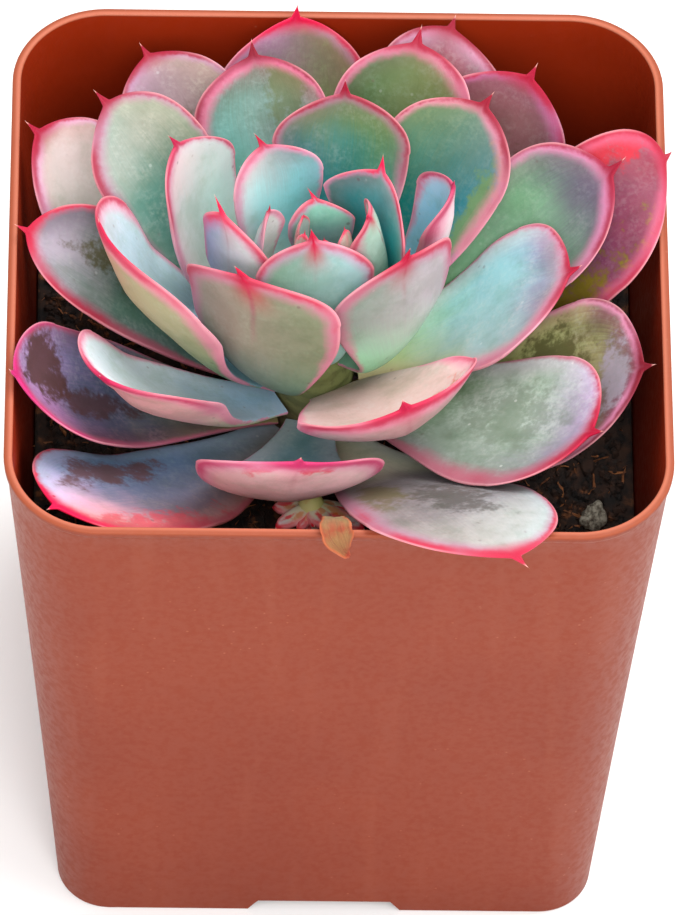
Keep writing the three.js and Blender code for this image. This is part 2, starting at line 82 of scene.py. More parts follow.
def smooth_step(low: float, high: float, value: Points) -> Points:
    """Rises smoothly from 0 at low to 1 at high."""
    t = np.clip((value - low) / (high - low), 0, 1)
    return t * t * (3 - 2 * t)


def circle(count: int) -> Points:
    """Equal steps of angle round a circle."""
    return 2 * np.pi * np.arange(count) / count


def unit(rows: Points) -> Points:
    """Rows of vectors, each made one long."""
    return rows / np.linalg.norm(rows, axis=1)[:, None]


def chance(seed: int) -> Iterator[float]:
    """Yields the same run of chance numbers as the solid model's soil uses.

    Args:
        seed: Where the run starts.

    Returns:
        An endless iterator of numbers from 0 to 1.
    """
    mask = 0xFFFFFFFF
    state = seed
    while True:
        state = (state + 0x6D2B79F5) & mask
        t = ((state ^ (state >> 15)) * (1 | state)) & mask
        t = ((t + (((t ^ (t >> 7)) * (61 | t)) & mask)) ^ t) & mask
        yield (t ^ (t >> 14)) / 4294967296


class Graph:
    """Adds nodes to a tree and links them, so that a pattern reads as a formula."""

    def __init__(self, tree: bpy.types.NodeTree) -> None:
        """Keeps the tree that the nodes go into."""
        self.tree = tree

    def add(self, kind: str, values: dict[str | int, object] | None = None,
            **settings: object) -> bpy.types.Node:
        """Adds one node.

        Args:
            kind: The node's type name.
            values: Socket name or number to a value or an output socket.
            **settings: The node's own properties.

        Returns:
            The new node.
        """
        node = self.tree.nodes.new(kind)
        for key, value in settings.items():
            setattr(node, key, value)
        for key, value in (values or {}).items():
            socket = node.inputs[key]
            if isinstance(value, Socket):
                self.tree.links.new(value, socket)
            else:
                socket.default_value = value
        return node

    def math(self, operation: str, a: Input, b: Input = 0.0, c: Input = 0.0) -> Socket:
        """Adds a number formula and returns its result."""
        return self.add("ShaderNodeMath", {0: a, 1: b, 2: c}, operation=operation).outputs[0]

    def times(self, first: Input, *others: Input) -> Socket:
        """Multiplies values.

        Args:
            first: The first of them.
            *others: The rest.

        Returns:
            Their product.
        """
        for other in others:
            first = self.math("MULTIPLY", first, other)
        return first

    def stirred(self, value: Input, noise: Input, amount: float) -> Socket:
        """Moves a value up and down with a noise."""
        return self.math("MULTIPLY_ADD", self.math("SUBTRACT", noise, 0.5), amount, value)

    def rise(self, value: Input, low: float, high: float, top: float = 1.0) -> Socket:
        """Rises smoothly from 0 at low to top at high.

        Args:
            value: What is looked at.
            low: Where the rise starts.
            high: Where it ends.
            top: The result at its end.

        Returns:
            The result.
        """
        node = self.add("ShaderNodeMapRange", {0: value, 1: low, 2: high, 3: 0.0, 4: top},
                        interpolation_type="SMOOTHSTEP")
        return node.outputs[0]

    def mix(self, share: Input, a: Input, b: Input, blend: str = "MIX") -> Socket:
        """Mixes two linear colours."""
        node = self.add("ShaderNodeMix", {0: share, 6: a, 7: b}, data_type="RGBA", blend_type=blend)
        return node.outputs[2]

    def blend(self, share: Input, a: Colour, b: Colour) -> Socket:
        """Mixes two display colours."""
        return self.mix(share, linear(a), linear(b))

    def tint(self, share: Input, under: Input, colour: Colour) -> Socket:
        """Mixes a display colour into the colour under it."""
        return self.mix(share, under, linear(colour))

    def place(self) -> Socket:
        """The place in the object, in metres."""
        return self.add("ShaderNodeTexCoord").outputs["Object"]

    def split(self, vector: Input) -> list[Socket]:
        """The three numbers of a vector."""
        return list(self.add("ShaderNodeSeparateXYZ", {0: vector}).outputs)

    def layer(self, name: str) -> Socket:
        """The piece's UV map of this name."""
        return self.add("ShaderNodeUVMap", uv_map=name).outputs[0]

    def noise(self, at: Input, scale: float, detail: float = 2.0, rough: float = 0.5) -> Socket:
        """A noise from 0 to 1."""
        values = {"Vector": at, "Scale": scale, "Detail": detail, "Roughness": rough}
        return self.add("ShaderNodeTexNoise", values).outputs[0]

    def spots(self, at: Input, scale: float) -> Socket:
        """The distance from the middles of scattered cells."""
        return self.add("ShaderNodeTexVoronoi", {"Vector": at, "Scale": scale}).outputs["Distance"]

    def stretch(self, at: Input, scale: Sequence[float]) -> Socket:
        """Scales coordinates differently along each axis."""
        return self.add("ShaderNodeMapping", {"Vector": at, "Scale": scale}).outputs[0]

    def bump(self, height: Input, distance: float, strength: float = 1.0) -> Socket:
        """The normal of a bumpy surface."""
        values = {"Height": height, "Distance": distance, "Strength": strength}
        return self.add("ShaderNodeBump", values).outputs[0]


def new_material(name: str) -> tuple[bpy.types.Material, bpy.types.Node]:
    """Makes a material.

    Args:
        name: The material's name.

    Returns:
        The material and its one shader.
    """
    material = bpy.data.materials.new(name)
    material.use_nodes = True
    return material, next(n for n in material.node_tree.nodes if n.type == "BSDF_PRINCIPLED")


@dataclass(frozen=True)
class Finish:
    """What a piece is made of, as a pattern on one shader.

    Gloss is the shader's specular level. Depth is the share of light that spreads under
    the surface, with its radius for red, green and blue, and its scale in metres.
    """

    name: str = "finish"
    gloss: float = 0.5
    depth: float = 0.0
    depth_radius: Place = (1.0, 0.2, 0.1)
    depth_scale: float = 0.05

    def pattern(self, g: Graph) -> tuple[Socket, Socket, Socket]:
        """Lays the pattern.

        Args:
            g: The material's graph.

        Returns:
            Its colour, its roughness and its normal.
        """
        raise NotImplementedError

    def material(self) -> bpy.types.Material:
        """Makes the material.

        Returns:
            A material with this finish's pattern and constants on its shader.
        """
        material, shader = new_material(self.name)
        sockets = self.pattern(Graph(material.node_tree))
        for key, socket in zip(("Base Color", "Roughness", "Normal"), sockets):
            material.node_tree.links.new(socket, shader.inputs[key])
        shader.inputs["Specular IOR Level"].default_value = self.gloss
        shader.inputs["Subsurface Weight"].default_value = self.depth
        shader.inputs["Subsurface Radius"].default_value = self.depth_radius
        shader.inputs["Subsurface Scale"].default_value = self.depth_scale
        return material


class Face(Enum):
    """Which face of a leaf a patch of colour lies on."""

    TOP = 1.0
    UNDER = 0.0


@dataclass(frozen=True)
class Spot:
    """A patch of another colour on a leaf.

    Its place and its half lengths are shares of the leaf's length and of its half width.
    """

    colour: Colour = (110, 85, 80)
    along: float = 0.7
    across: float = 0.0
    reach_along: float = 0.15
    reach_across: float = 0.4
    strength: float = 0.0
    face: Face = Face.TOP


@dataclass(frozen=True)
class LeafLook(Finish):
    """The colours of a leaf, from its root to its tip and over its margin.

    Width is the margin's in millimetres and sway is its growth towards the right edge.
    Light is painted light and shade on the underside: how much its colours are brightened, or darkened below
    one, for how lit the leaf is.
    """

    gloss: float = 0.2
    depth: float = 0.08
    depth_radius: Place = (1.0, 0.45, 0.35)
    depth_scale: float = 0.0016
    root: Colour = (160, 190, 140)
    body: Colour = (160, 190, 140)
    blush: Colour = (160, 190, 140)
    under_root: Colour = (160, 190, 140)
    under: Colour = (212, 196, 184)
    light: float = 1.0
    margin: Colour = (243, 128, 146)
    core: Colour = (240, 52, 92)
    haze: Colour = (214, 214, 222)
    left: Colour = (255, 255, 255)
    right: Colour = (255, 255, 255)
    width: float = 1.4
    sway: float = 0.0
    haze_share: float = 0.45
    farina: float = 0.3
    speckle: float = 0.2
    keel: float = 0.35
    spot_a: Spot = Spot()
    spot_b: Spot = Spot()

    def pattern(self, g: Graph) -> tuple[Socket, Socket, Socket]:
        """Lays the leaves' shared pattern in this leaf's colours.

        Args:
            g: The material's graph.

        Returns:
            Its colour, its roughness and its normal.
        """
        node = g.add("ShaderNodeGroup", node_tree=LeafPattern.group())
        for key in LeafPattern.COLOURS:
            # The underside's colours take the leaf's painted light or shade.
            light = self.light if key in LeafPattern.LIT else 1.0
            shares = [light * share for share in linear(getattr(self, key))[:3]]
            node.inputs[key].default_value = (*shares, 1.0)
        for key in LeafPattern.NUMBERS:
            node.inputs[key].default_value = getattr(self, key)
        for key in LeafPattern.SPOTS:
            spot: Spot = getattr(self, key)
            node.inputs[f"{key} colour"].default_value = linear(spot.colour)
            node.inputs[f"{key} place"].default_value = (spot.along, spot.across, spot.strength)
            node.inputs[f"{key} size"].default_value = (spot.reach_along, spot.reach_across, spot.face.value)
        return tuple(node.outputs[key] for key in LeafPattern.RESULTS)


class LeafPattern:
    """The pattern that all leaves share, as a node group with a leaf's colours for its inputs."""

    NAME = "leaf_skin"
    COLOURS = ("root", "body", "blush", "under_root", "under", "margin", "core", "haze", "left", "right")
    LIT = ("under_root", "under")
    NUMBERS = ("width", "sway", "haze_share", "farina", "speckle", "keel")
    SPOTS = ("spot_a", "spot_b")
    RESULTS = {"Colour": "Color", "Roughness": "Float", "Normal": "Vector"}
    FINE, MIDDLE, COARSE, MOTTLED, DOTTED, BEADED = 1500, 320, 75, 170, 420, 230
    STREAKS = (6, 70, 1)
    CENTIMETRE = 10.0
    RELIEF = 0.00022
    WAX = (0.8, 0.84, 0.82, 1.0)
    BARE = (0.62, 0.66, 0.58, 1.0)
    MOTTLE = (0.62, 0.72, 0.6, 1.0)
    BEAD = (0.85, 0.88, 0.85, 1.0)
    RIDGE = (168, 96, 110)
    UNDER_WAX = (226, 226, 216)
    DOT = (98, 52, 62)
    # Painted highlight: the pale pink line where a leaf's outer edge catches light.
    PAINTED_EDGE_HIGHLIGHT = (250, 190, 195)
    NEEDLE = (232, 170, 160)

    @classmethod
    def group(cls) -> bpy.types.NodeTree:
        """Builds the group once.

        Returns:
            A node group with a colour, a roughness and a normal for its outputs.
        """
        if cls.NAME in bpy.data.node_groups:
            return bpy.data.node_groups[cls.NAME]
        tree = bpy.data.node_groups.new(cls.NAME, "ShaderNodeTree")
        inputs = [(name, "Color") for name in cls.COLOURS] + [(name, "Float") for name in cls.NUMBERS]
        for spot in cls.SPOTS:
            inputs += [(f"{spot} colour", "Color"), (f"{spot} place", "Vector"), (f"{spot} size", "Vector")]
        for ports, way in ((inputs, "INPUT"), (cls.RESULTS.items(), "OUTPUT")):
            for name, kind in ports:
                tree.interface.new_socket(name, in_out=way, socket_type=f"NodeSocket{kind}")
        cls(tree).fill()
        return tree

    def __init__(self, tree: bpy.types.NodeTree) -> None:
        """Reads the inputs, the places on the leaf and the noises.

        Args:
            tree: The empty group.
        """
        self.g = g = Graph(tree)
        self.given = g.add("NodeGroupInput").outputs
        self.at = g.place()
        place = g.layer("place")
        edge = g.layer("edge")
        self.along, side = g.split(place)[:2]
        self.across = g.math("MULTIPLY_ADD", side, 2.0, -1.0)
        inward, self.top = g.split(edge)[:2]
        self.inward = g.times(inward, self.CENTIMETRE)
        self.fine = g.noise(self.at, self.FINE, 3, 0.6)
        self.middle = g.noise(self.at, self.MIDDLE, 3, 0.55)
        self.coarse = g.noise(self.at, self.COARSE, 2, 0.5)
        self.streak = g.noise(g.stretch(place, self.STREAKS), 1.0, 2, 0.5)
        self.shifted = g.stirred(g.stirred(self.along, self.coarse, 0.5), self.streak, 0.12)
        powder = g.times(g.rise(self.fine, 0.36, 0.7), g.rise(self.middle, 0.3, 0.75))
        self.powder = g.times(powder, self.given["farina"])

    def fill(self) -> None:
        """Lays the layers over each other and links the outputs."""
        g, given = self.g, self.given
        skin = g.mix(self.top, self.lower(), self.upper())
        # Left and right tint the leaf's two sides: partly its own colour, partly painted shade where one side
        # lies darker.
        side_tint_and_shade = g.mix(g.rise(self.across, -1.0, 1.0), given["left"], given["right"])
        skin = g.mix(1.0, skin, side_tint_and_shade, "MULTIPLY")
        for spot in self.SPOTS:
            skin = self.patched(skin, spot)
        skin = self.tipped(self.margined(self.speckled(skin)))
        relief = g.math("MULTIPLY_ADD", self.middle, 0.6, g.times(self.fine, 0.25))
        relief = g.math("MULTIPLY_ADD", self.streak, 0.12, relief)
        rough = g.math("MULTIPLY_ADD", self.powder, 0.25, 0.5)
        normal = g.bump(relief, self.RELIEF, 0.7)
        g.add("NodeGroupOutput", {"Colour": skin, "Roughness": rough, "Normal": normal})

    def upper(self) -> Socket:
        """Lays the upper face, with its haze, wax bloom and worn places.

        Returns:
            Its colour.
        """
        g, given = self.g, self.given
        skin = g.mix(g.rise(self.shifted, 0.08, 0.5), given["root"], given["body"])
        skin = g.mix(g.rise(self.shifted, 0.55, 0.95), skin, given["blush"])
        skin = g.mix(g.times(g.rise(self.inward, 4.5, 0.6), given["haze_share"]), skin, given["haze"])
        skin = g.mix(self.powder, skin, g.mix(0.55, skin, self.WAX))
        worn = g.times(g.rise(self.middle, 0.5, 0.3), g.rise(self.fine, 0.35, 0.6))
        worn = g.times(worn, g.times(given["farina"], 0.7))
        return g.mix(worn, skin, g.mix(1.0, skin, self.BARE, "MULTIPLY"))

    def lower(self) -> Socket:
        """Lays the underside, with the reddish ridge towards its tip.

        Returns:
            Its colour.
        """
        g, given = self.g, self.given
        skin = g.mix(g.rise(self.shifted, 0.15, 0.62), given["under_root"], given["under"])
        ridge = g.times(g.rise(g.math("ABSOLUTE", self.across), 0.07, 0.0), g.rise(self.shifted, 0.5, 0.9),
                        g.rise(self.middle, 0.3, 0.6), given["keel"])
        return g.tint(g.times(self.powder, 0.6), g.tint(ridge, skin, self.RIDGE), self.UNDER_WAX)

    def patched(self, skin: Socket, spot: str) -> Socket:
        """Lays one ragged patch of colour on the skin.

        Args:
            skin: The colour under the patch.
            spot: The patch's name.

        Returns:
            The colour with the patch on it.
        """
        g, given = self.g, self.given
        along, across, strength = g.split(given[f"{spot} place"])
        reach_along, reach_across, face = g.split(given[f"{spot} size"])
        down = g.math("DIVIDE", g.math("SUBTRACT", self.along, along), reach_along)
        aside = g.math("DIVIDE", g.math("SUBTRACT", self.across, across), reach_across)
        away = g.math("SQRT", g.math("MULTIPLY_ADD", down, down, g.times(aside, aside)))
        away = g.stirred(g.stirred(away, self.middle, 2.4), self.fine, 1.2)
        facing = g.math("SUBTRACT", 1.0, g.math("ABSOLUTE", g.math("SUBTRACT", self.top, face)))
        share = g.times(g.rise(away, 1.15, 0.45), g.times(facing, strength))
        return g.mix(share, skin, given[f"{spot} colour"])

    def speckled(self, skin: Socket) -> Socket:
        """Adds the mottling, the dark dots near the margin and the pale beads of wax.

        Args:
            skin: The colour so far.

        Returns:
            The colour with them on it.
        """
        g, given = self.g, self.given
        mottle = g.rise(g.noise(self.at, self.MOTTLED, 5, 0.68), 0.42, 0.66, 0.44)
        skin = g.mix(mottle, skin, g.mix(1.0, skin, self.MOTTLE, "MULTIPLY"))
        dots = g.times(g.rise(g.spots(self.at, self.DOTTED), 0.16, 0.06), g.rise(self.middle, 0.48, 0.6),
                       g.rise(self.inward, 6.0, 1.5), given["speckle"])
        skin = g.tint(dots, skin, self.DOT)
        beads = g.times(g.rise(g.spots(self.at, self.BEADED), 0.07, 0.03), 0.55, given["farina"])
        return g.mix(beads, skin, self.BEAD)

    def margined(self, skin: Socket) -> Socket:
        """Adds the soft pink margin, the red band in it and a painted highlight along its outer edge.

        Args:
            skin: The colour so far.

        Returns:
            The colour with them on it.
        """
        g, given, shifted = self.g, self.given, self.shifted
        ragged = g.stirred(g.stirred(self.inward, self.middle, 1.1), self.fine, 0.5)
        reach = g.times(given["width"], g.math("MULTIPLY_ADD", self.across, given["sway"], 1.0))
        reach = g.times(reach, g.math("MULTIPLY_ADD", self.top, -0.3, 1.15), g.rise(shifted, 0.05, 0.8))
        depth = g.math("DIVIDE", ragged, g.math("MAXIMUM", reach, 0.05))
        skin = g.mix(g.rise(depth, 2.0, 0.35, 0.75), skin, given["margin"])
        band = g.times(g.rise(depth, 1.05, 0.25), g.rise(shifted, 0.45, 0.85),
                       g.rise(g.math("MULTIPLY_ADD", self.along, 0.25, self.coarse), 0.45, 0.74), 0.85)
        skin = g.mix(band, skin, given["core"])
        # Painted highlight: a pale pink line along the outer edge, towards the tip.
        pale = g.times(g.rise(self.inward, 0.4, 0.05), g.rise(self.along, 0.93, 0.85),
                       g.rise(shifted, 0.35, 0.65), 0.35)
        return g.tint(pale, skin, self.PAINTED_EDGE_HIGHLIGHT)

    def tipped(self, skin: Socket) -> Socket:
        """Adds the red wedge under the tip, the red tip and its pale needle.

        Args:
            skin: The colour so far.

        Returns:
            The colour with them on it.
        """
        g, core = self.g, self.given["core"]
        wedge = g.times(g.rise(g.math("ABSOLUTE", self.across), 0.42, 0.05), g.rise(self.along, 0.7, 0.93),
                        g.math("SUBTRACT", 1.0, self.top), self.given["keel"])
        skin = g.mix(g.rise(self.along, 0.89, 0.95, 0.9), g.mix(wedge, skin, core), core)
        return g.tint(g.rise(self.along, 0.98, 0.995), skin, self.NEEDLE)


def link(name: str, data: bpy.types.ID) -> bpy.types.Object:
    """Puts an object into the scene.

    Args:
        name: The object's name.
        data: What it shows.

    Returns:
        The object.
    """
    made = bpy.data.objects.new(name, data)
    bpy.context.scene.collection.objects.link(made)
    return made


def packed(points: Points) -> Points:
    """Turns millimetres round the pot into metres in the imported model."""
    return np.asarray(points) * MM + POT_ORIGIN


def add_mesh(name: str, points: Points, faces: Sequence[Sequence[int]]) -> bpy.types.Object:
    """Adds a mesh object.

    Args:
        name: The name of the mesh and of the object.
        points: Its points, in metres.
        faces: Point numbers of each face.

    Returns:
        The object.
    """
    mesh = bpy.data.meshes.new(name)
    mesh.from_pydata(np.asarray(points).tolist(), [], faces)
    return link(name, mesh)


def settle(piece: bpy.types.Object) -> None:
    """Lets a piece ride on the part."""
    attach(piece, "root")


def make_piece(
    name: str, skin: Skin, material: bpy.types.Material,
    layers: Layers | None = None, crease: float = 60.0,
) -> bpy.types.Object:
    """Makes a piece of points in millimetres round the pot's axis.

    Args:
        name: The piece's name.
        skin: Its points and faces.
        material: Its material.
        layers: UV maps as one row of two numbers a point.
        crease: Edges that turn by more than this angle, in degrees, are sharp.

    Returns:
        The object, riding on the part.
    """
    piece = add_mesh(name, packed(skin[0]), skin[1])
    mesh = piece.data
    for key, values in (layers or {}).items():
        owner = np.empty(len(mesh.loops), dtype=np.int64)
        mesh.loops.foreach_get("vertex_index", owner)
        mesh.uv_layers.new(name=key).data.foreach_set("uv", values[owner].astype(np.float32).ravel())
    mesh.validate()
    mesh.shade_smooth()
    mesh.set_sharp_from_angle(angle=math.radians(crease))
    mesh.materials.append(material)
    settle(piece)
    return piece


def evaluated_mesh(piece: bpy.types.Object) -> bpy.types.Mesh:
    """Makes a plain mesh with a piece's modifiers and removes them from the piece.

    Args:
        piece: The piece, which keeps its own mesh.

    Returns:
        The new mesh.
    """
    seen = piece.evaluated_get(bpy.context.evaluated_depsgraph_get())
    mesh = bpy.data.meshes.new_from_object(seen)
    piece.modifiers.clear()
    return mesh


def loft(rings: Sequence[Points]) -> Skin:
    """Joins closed rings of equal length into a closed skin.

    Args:
        rings: Rings of points, in order along the skin.

    Returns:
        The points and the faces, with a fan over each end.
    """
    count = len(rings[0])
    points = np.concatenate([*rings, [rings[0].mean(0)], [rings[-1].mean(0)]])
    faces: Faces = []
    for k in range(len(rings) - 1):
        for j in range(count):
            a, b = k * count + j, k * count + (j + 1) % count
            faces.append((a, b, b + count, a + count))
    last = (len(rings) - 1) * count
    for j in range(count):
        n = (j + 1) % count
        faces.append((len(points) - 2, n, j))
        faces.append((len(points) - 1, last + j, last + n))
    return points, faces


def joined(parts: Sequence[Skin]) -> Skin:
    """Puts several skins in one.

    Args:
        parts: The points and faces of each.

    Returns:
        All the points and all the faces.
    """
    points, faces, start = [], [], 0
    for part_points, part_faces in parts:
        points.append(part_points)
        faces += [tuple(i + start for i in face) for face in part_faces]
        start += len(part_points)
    return np.concatenate(points), faces


def round_ring(at: Points, radius: float, z: float, sides: int) -> Points:
    """A level round ring of points."""
    a = circle(sides)
    return np.stack([at[0] + radius * np.cos(a), at[1] + radius * np.sin(a), np.full(sides, z)], 1)


def joined_layers(rows: Sequence[tuple[Points, Points]]) -> Layers:
    """Joins the places and the edge distances of several skins."""
    places, edges = zip(*rows)
    return {"place": np.concatenate(places), "edge": np.concatenate(edges)}


def plain_layers(count: int, along: float) -> tuple[Points, Points]:
    """Places and edge distances for points that have no margin near them."""
    return np.tile([along, 0.5], (count, 1)), np.tile([0.3, 1.0], (count, 1))


@dataclass(frozen=True)
class LeafKind:
    """The shape that the leaves of one layer share.

    Shoulder is where the blade would end without its spike, as a share of the leaf's
    length, and the spike's height and length are shares too.
    """

    thick: float
    blunt: float
    shoulder: float
    spike: float
    spike_length: float
    slot: str

    WIDEST: ClassVar[float] = 0.7

    def outline(self, v: Points) -> Points:
        """Half the width along the leaf, as a share of the greatest half width.

        Args:
            v: Places along the leaf, from 0 to 1.

        Returns:
            One share a place.
        """
        low = 0.28 + 0.72 * np.sin(np.pi / 2 * np.clip(v / self.WIDEST, 0, 1)) ** 1.45
        x = np.clip((v - self.WIDEST) / (self.shoulder - self.WIDEST), 0, 1)
        spike = self.spike * np.clip((1 - v) / self.spike_length, 0, 1) ** 1.5
        high = ((1 - x**self.blunt) ** (0.7 * 3) + spike**3) ** (1 / 3)
        return np.where(v < self.WIDEST, low, high)

    def body(self, v: Points) -> Points:
        """Thickness at places along the leaf."""
        swell = 0.55 + 0.45 * np.sin(np.pi * np.clip(v / 0.8, 0, 1))
        return self.thick * (swell * np.clip((1 - v) / 0.3, 0, 1) ** 0.55)


@dataclass(frozen=True)
class Leaf:
    """One leaf: where it goes from the stem, how it bends and how it is coloured.

    Angles are in degrees and lengths in millimetres. Rise and root are heights from the rim.
    The groove and the keel are a share of the thickness and a share of the half width. A wave
    is a height, then its radians along the leaf and across it. The small wave's height is a
    share of the blade wave's, and the ripple is a share of the half width.
    """

    azimuth: float
    reach: float
    rise: float
    root: float
    width: float
    root_pitch: float
    tip_pitch: float
    cup: float
    roll: float
    swing: float
    skew: float
    look: LeafLook

    SIDES: ClassVar[int] = 56
    ROWS: ClassVar[tuple[tuple[float, float, int], ...]] = ((0, 0.66, 36), (0.68, 0.9, 24),
                                                            (0.907, 0.996, 22))
    SEAT: ClassVar[float] = 0.55
    UPPER_SHARE: ClassVar[float] = 0.32
    LOWER_SHARE: ClassVar[float] = 0.68
    GROOVE: ClassVar[tuple[float, float]] = (0.4, 0.3)
    KEEL: ClassVar[tuple[float, float]] = (0.28, 0.16)
    EDGE_WAVE: ClassVar[tuple[float, float, float]] = (0.3, 13, 1.7)
    BLADE_WAVE: ClassVar[tuple[float, float, float]] = (0.13, 7, 2.2)
    SMALL_WAVE: ClassVar[tuple[float, float, float]] = (0.6, 15, 3)
    RIPPLE: ClassVar[tuple[float, float]] = (0.018, 9)

    def spine(self, v: Points) -> tuple[Points, Points, Points, float]:
        """Places and directions along the middle of the leaf.

        Args:
            v: Places along the leaf, from 0 to 1.

        Returns:
            The middle line's points, its directions, the sideways direction and its length.
        """
        a = math.radians(self.azimuth)
        tip = np.array([*(ROSETTE_AT + self.reach * np.array([math.cos(a), math.sin(a)])), RIM + self.rise])
        out = np.array([*(tip[:2] - STEM_AT), 0.0])
        out /= np.linalg.norm(out)
        side = np.array([out[1], -out[0], 0.0])
        seat = float(np.interp(self.root, *zip(*STEM_PROFILE))) + self.SEAT
        start = np.array([*STEM_AT, RIM + self.root]) + out * seat
        pull = 0.4 * float(np.linalg.norm(tip - start))

        def heading(pitch: float) -> Points:
            """The handle of the curve at a pitch."""
            p = math.radians(pitch)
            return pull * (out * math.cos(p) + np.array([0, 0, math.sin(p)]))

        handles = [start, start + heading(self.root_pitch) + side * self.swing,
                   tip - heading(self.tip_pitch) + side * self.swing, tip]
        t = np.linspace(0, 1, 401)[:, None]
        weights = [(1 - t) ** 3, 3 * (1 - t) ** 2 * t, 3 * (1 - t) * t**2, t**3]
        curve = sum(w * p for w, p in zip(weights, handles))
        run = np.concatenate([[0], np.cumsum(np.linalg.norm(np.diff(curve, axis=0), axis=1))])
        slope = unit(np.gradient(curve, axis=0))
        middle, along = (np.stack([np.interp(v * run[-1], run, line[:, k]) for k in range(3)], 1)
                         for line in (curve, slope))
        return middle, along, side, float(run[-1])

    def rolled(self, v: Points, along: Points, side: Points) -> tuple[Points, Points]:
        """The directions across and over the leaf, with its roll.

        Args:
            v: Places along the leaf.
            along: The middle line's directions there.
            side: The sideways direction.

        Returns:
            The directions across the leaf and those out of its upper face.
        """
        flat = unit(side - along * (along @ side)[:, None])
        up = np.cross(flat, along)
        turn = (math.radians(self.roll) * np.clip(v / 0.5, 0, 1))[:, None]
        return flat * np.cos(turn) + up * np.sin(turn), up * np.cos(turn) - flat * np.sin(turn)

    def lift(self, v: Points, u: Points, y: Points, kind: LeafKind, phase: Points) -> Points:
        """How far each point stands over the flat leaf: its cup, thickness and waves.

        Args:
            v: Places along the leaf, as a column.
            u: Places across it, as a row.
            y: How far each place is on the upper or the lower face, as a row.
            kind: The shape of its layer.
            phase: What moves this leaf's own waves.

        Returns:
            Heights in millimetres.
        """
        spread = kind.outline(v)
        full = np.minimum(kind.body(v), 1.3 * (self.width / 2 * spread))
        groove = 1 - self.GROOVE[0] * np.exp(-((u / self.GROOVE[1]) ** 2)) * smooth_step(0.3, 0.9, v)
        keel = 1 + self.KEEL[0] * np.exp(-((u / self.KEEL[1]) ** 2)) * smooth_step(0.25, 0.8, v)
        level = np.where(y > 0, self.UPPER_SHARE * groove * np.abs(y) ** 0.75,
                         -self.LOWER_SHARE * keel * np.abs(y) ** 0.85)
        (edge, edge_long, edge_wide), (blade, long, wide) = self.EDGE_WAVE, self.BLADE_WAVE
        small, small_long, small_wide = self.SMALL_WAVE
        edge_wave = np.abs(u) ** 3 * np.sin(edge_long * v + phase[0] + edge_wide * np.sign(u))
        small_wave = small * np.sin(small_long * v - small_wide * u + phase[2])
        blade_wave = np.sin(long * v + wide * u + phase[1]) + small_wave
        gentle = spread**2 * smooth_step(0.15, 0.5, v) * self.width / 20
        cupped = self.cup * spread**2 * u**2 + full * level
        return cupped + gentle * (edge * edge_wave + blade * blade_wave)

    def skin(self, kind: LeafKind, seed: int) -> tuple[Skin, Layers]:
        """The fine skin of the leaf.

        Args:
            kind: The shape of its layer.
            seed: What sets this leaf's own waves.

        Returns:
            Its points and faces, and its UV maps: the place on the leaf, and the distance
            from its margin in centimetres beside a number that is 1 on the upper face.
        """
        phase = np.random.default_rng(seed).uniform(0, 2 * np.pi, 4)
        v = np.concatenate([np.linspace(*run) for run in self.ROWS])
        middle, along, side, length = self.spine(v)
        across, over = self.rolled(v, along, side)
        v = v[:, None]
        half = self.width / 2 * kind.outline(v)
        middle = middle + side * (self.skew * np.clip((v - kind.WIDEST) / (1 - kind.WIDEST), 0, 1) ** 2)
        angle = circle(self.SIDES)[None, :]
        u, y = np.cos(angle), -np.sin(angle)
        rippled = np.sin(self.RIPPLE[1] * v + phase[3] + np.sign(u))
        ripple = 1 + self.RIPPLE[0] * rippled * smooth_step(0.2, 0.6, v)
        rings = middle[:, None] + across[:, None] * (u * half * ripple)[..., None]
        rings = rings + over[:, None] * self.lift(v, u, y, kind, phase)[..., None]
        points, faces = loft(list(rings))
        points[-1] = self.spine(np.array([1.0]))[0][0] + side * self.skew

        inward = self.inward(v, u, half, length, kind)
        top = smooth_step(-0.12, 0.12, y) * np.ones_like(inward)
        layers = {}
        for key, first, second, ends in (("place", v, 0.5 + u / 2, [[0, 0.5], [1, 0.5]]),
                                         ("edge", inward / 10, top, [[0.1, 0.5], [0, 0.5]])):
            rows = np.stack(np.broadcast_arrays(first, second), -1).reshape(-1, 2)
            layers[key] = np.concatenate([rows, ends])
        return (points, faces), layers

    def inward(self, v: Points, u: Points, half: Points, length: float, kind: LeafKind) -> Points:
        """Distance of each point of the skin from the leaf's margin.

        Args:
            v: Places along the leaf, as a column.
            u: Places across it, as a row.
            half: Half widths at v, as a column.
            length: The leaf's length.
            kind: The shape of its layer.

        Returns:
            Distances in millimetres, one a point.
        """
        line_v = np.concatenate([np.linspace(0, 0.7, 260), np.linspace(0.7, 1, 200)[1:]])
        line = np.stack([line_v * length, kind.outline(line_v) * self.width / 2], 1)
        here = np.stack(np.broadcast_arrays(v * length, np.abs(u) * half), -1).reshape(-1, 2)
        away = np.sqrt(((here[:, None] - line[None]) ** 2).sum(-1)).min(1)
        return away.reshape(len(v), -1)


LAVENDER = LeafLook(root=(112, 128, 122), body=(150, 152, 176), blush=(172, 156, 180), width=1.6,
                    haze_share=0.34, speckle=0.5)
MINT = LeafLook(root=(128, 172, 134), body=(128, 166, 152), blush=(150, 172, 170), width=1.35,
                haze_share=0.34, speckle=0.45)
TEAL = LeafLook(root=(92, 150, 122), body=(98, 158, 146), blush=(128, 178, 172), width=1.15,
                haze_share=0.34, farina=0.18, speckle=0.45)
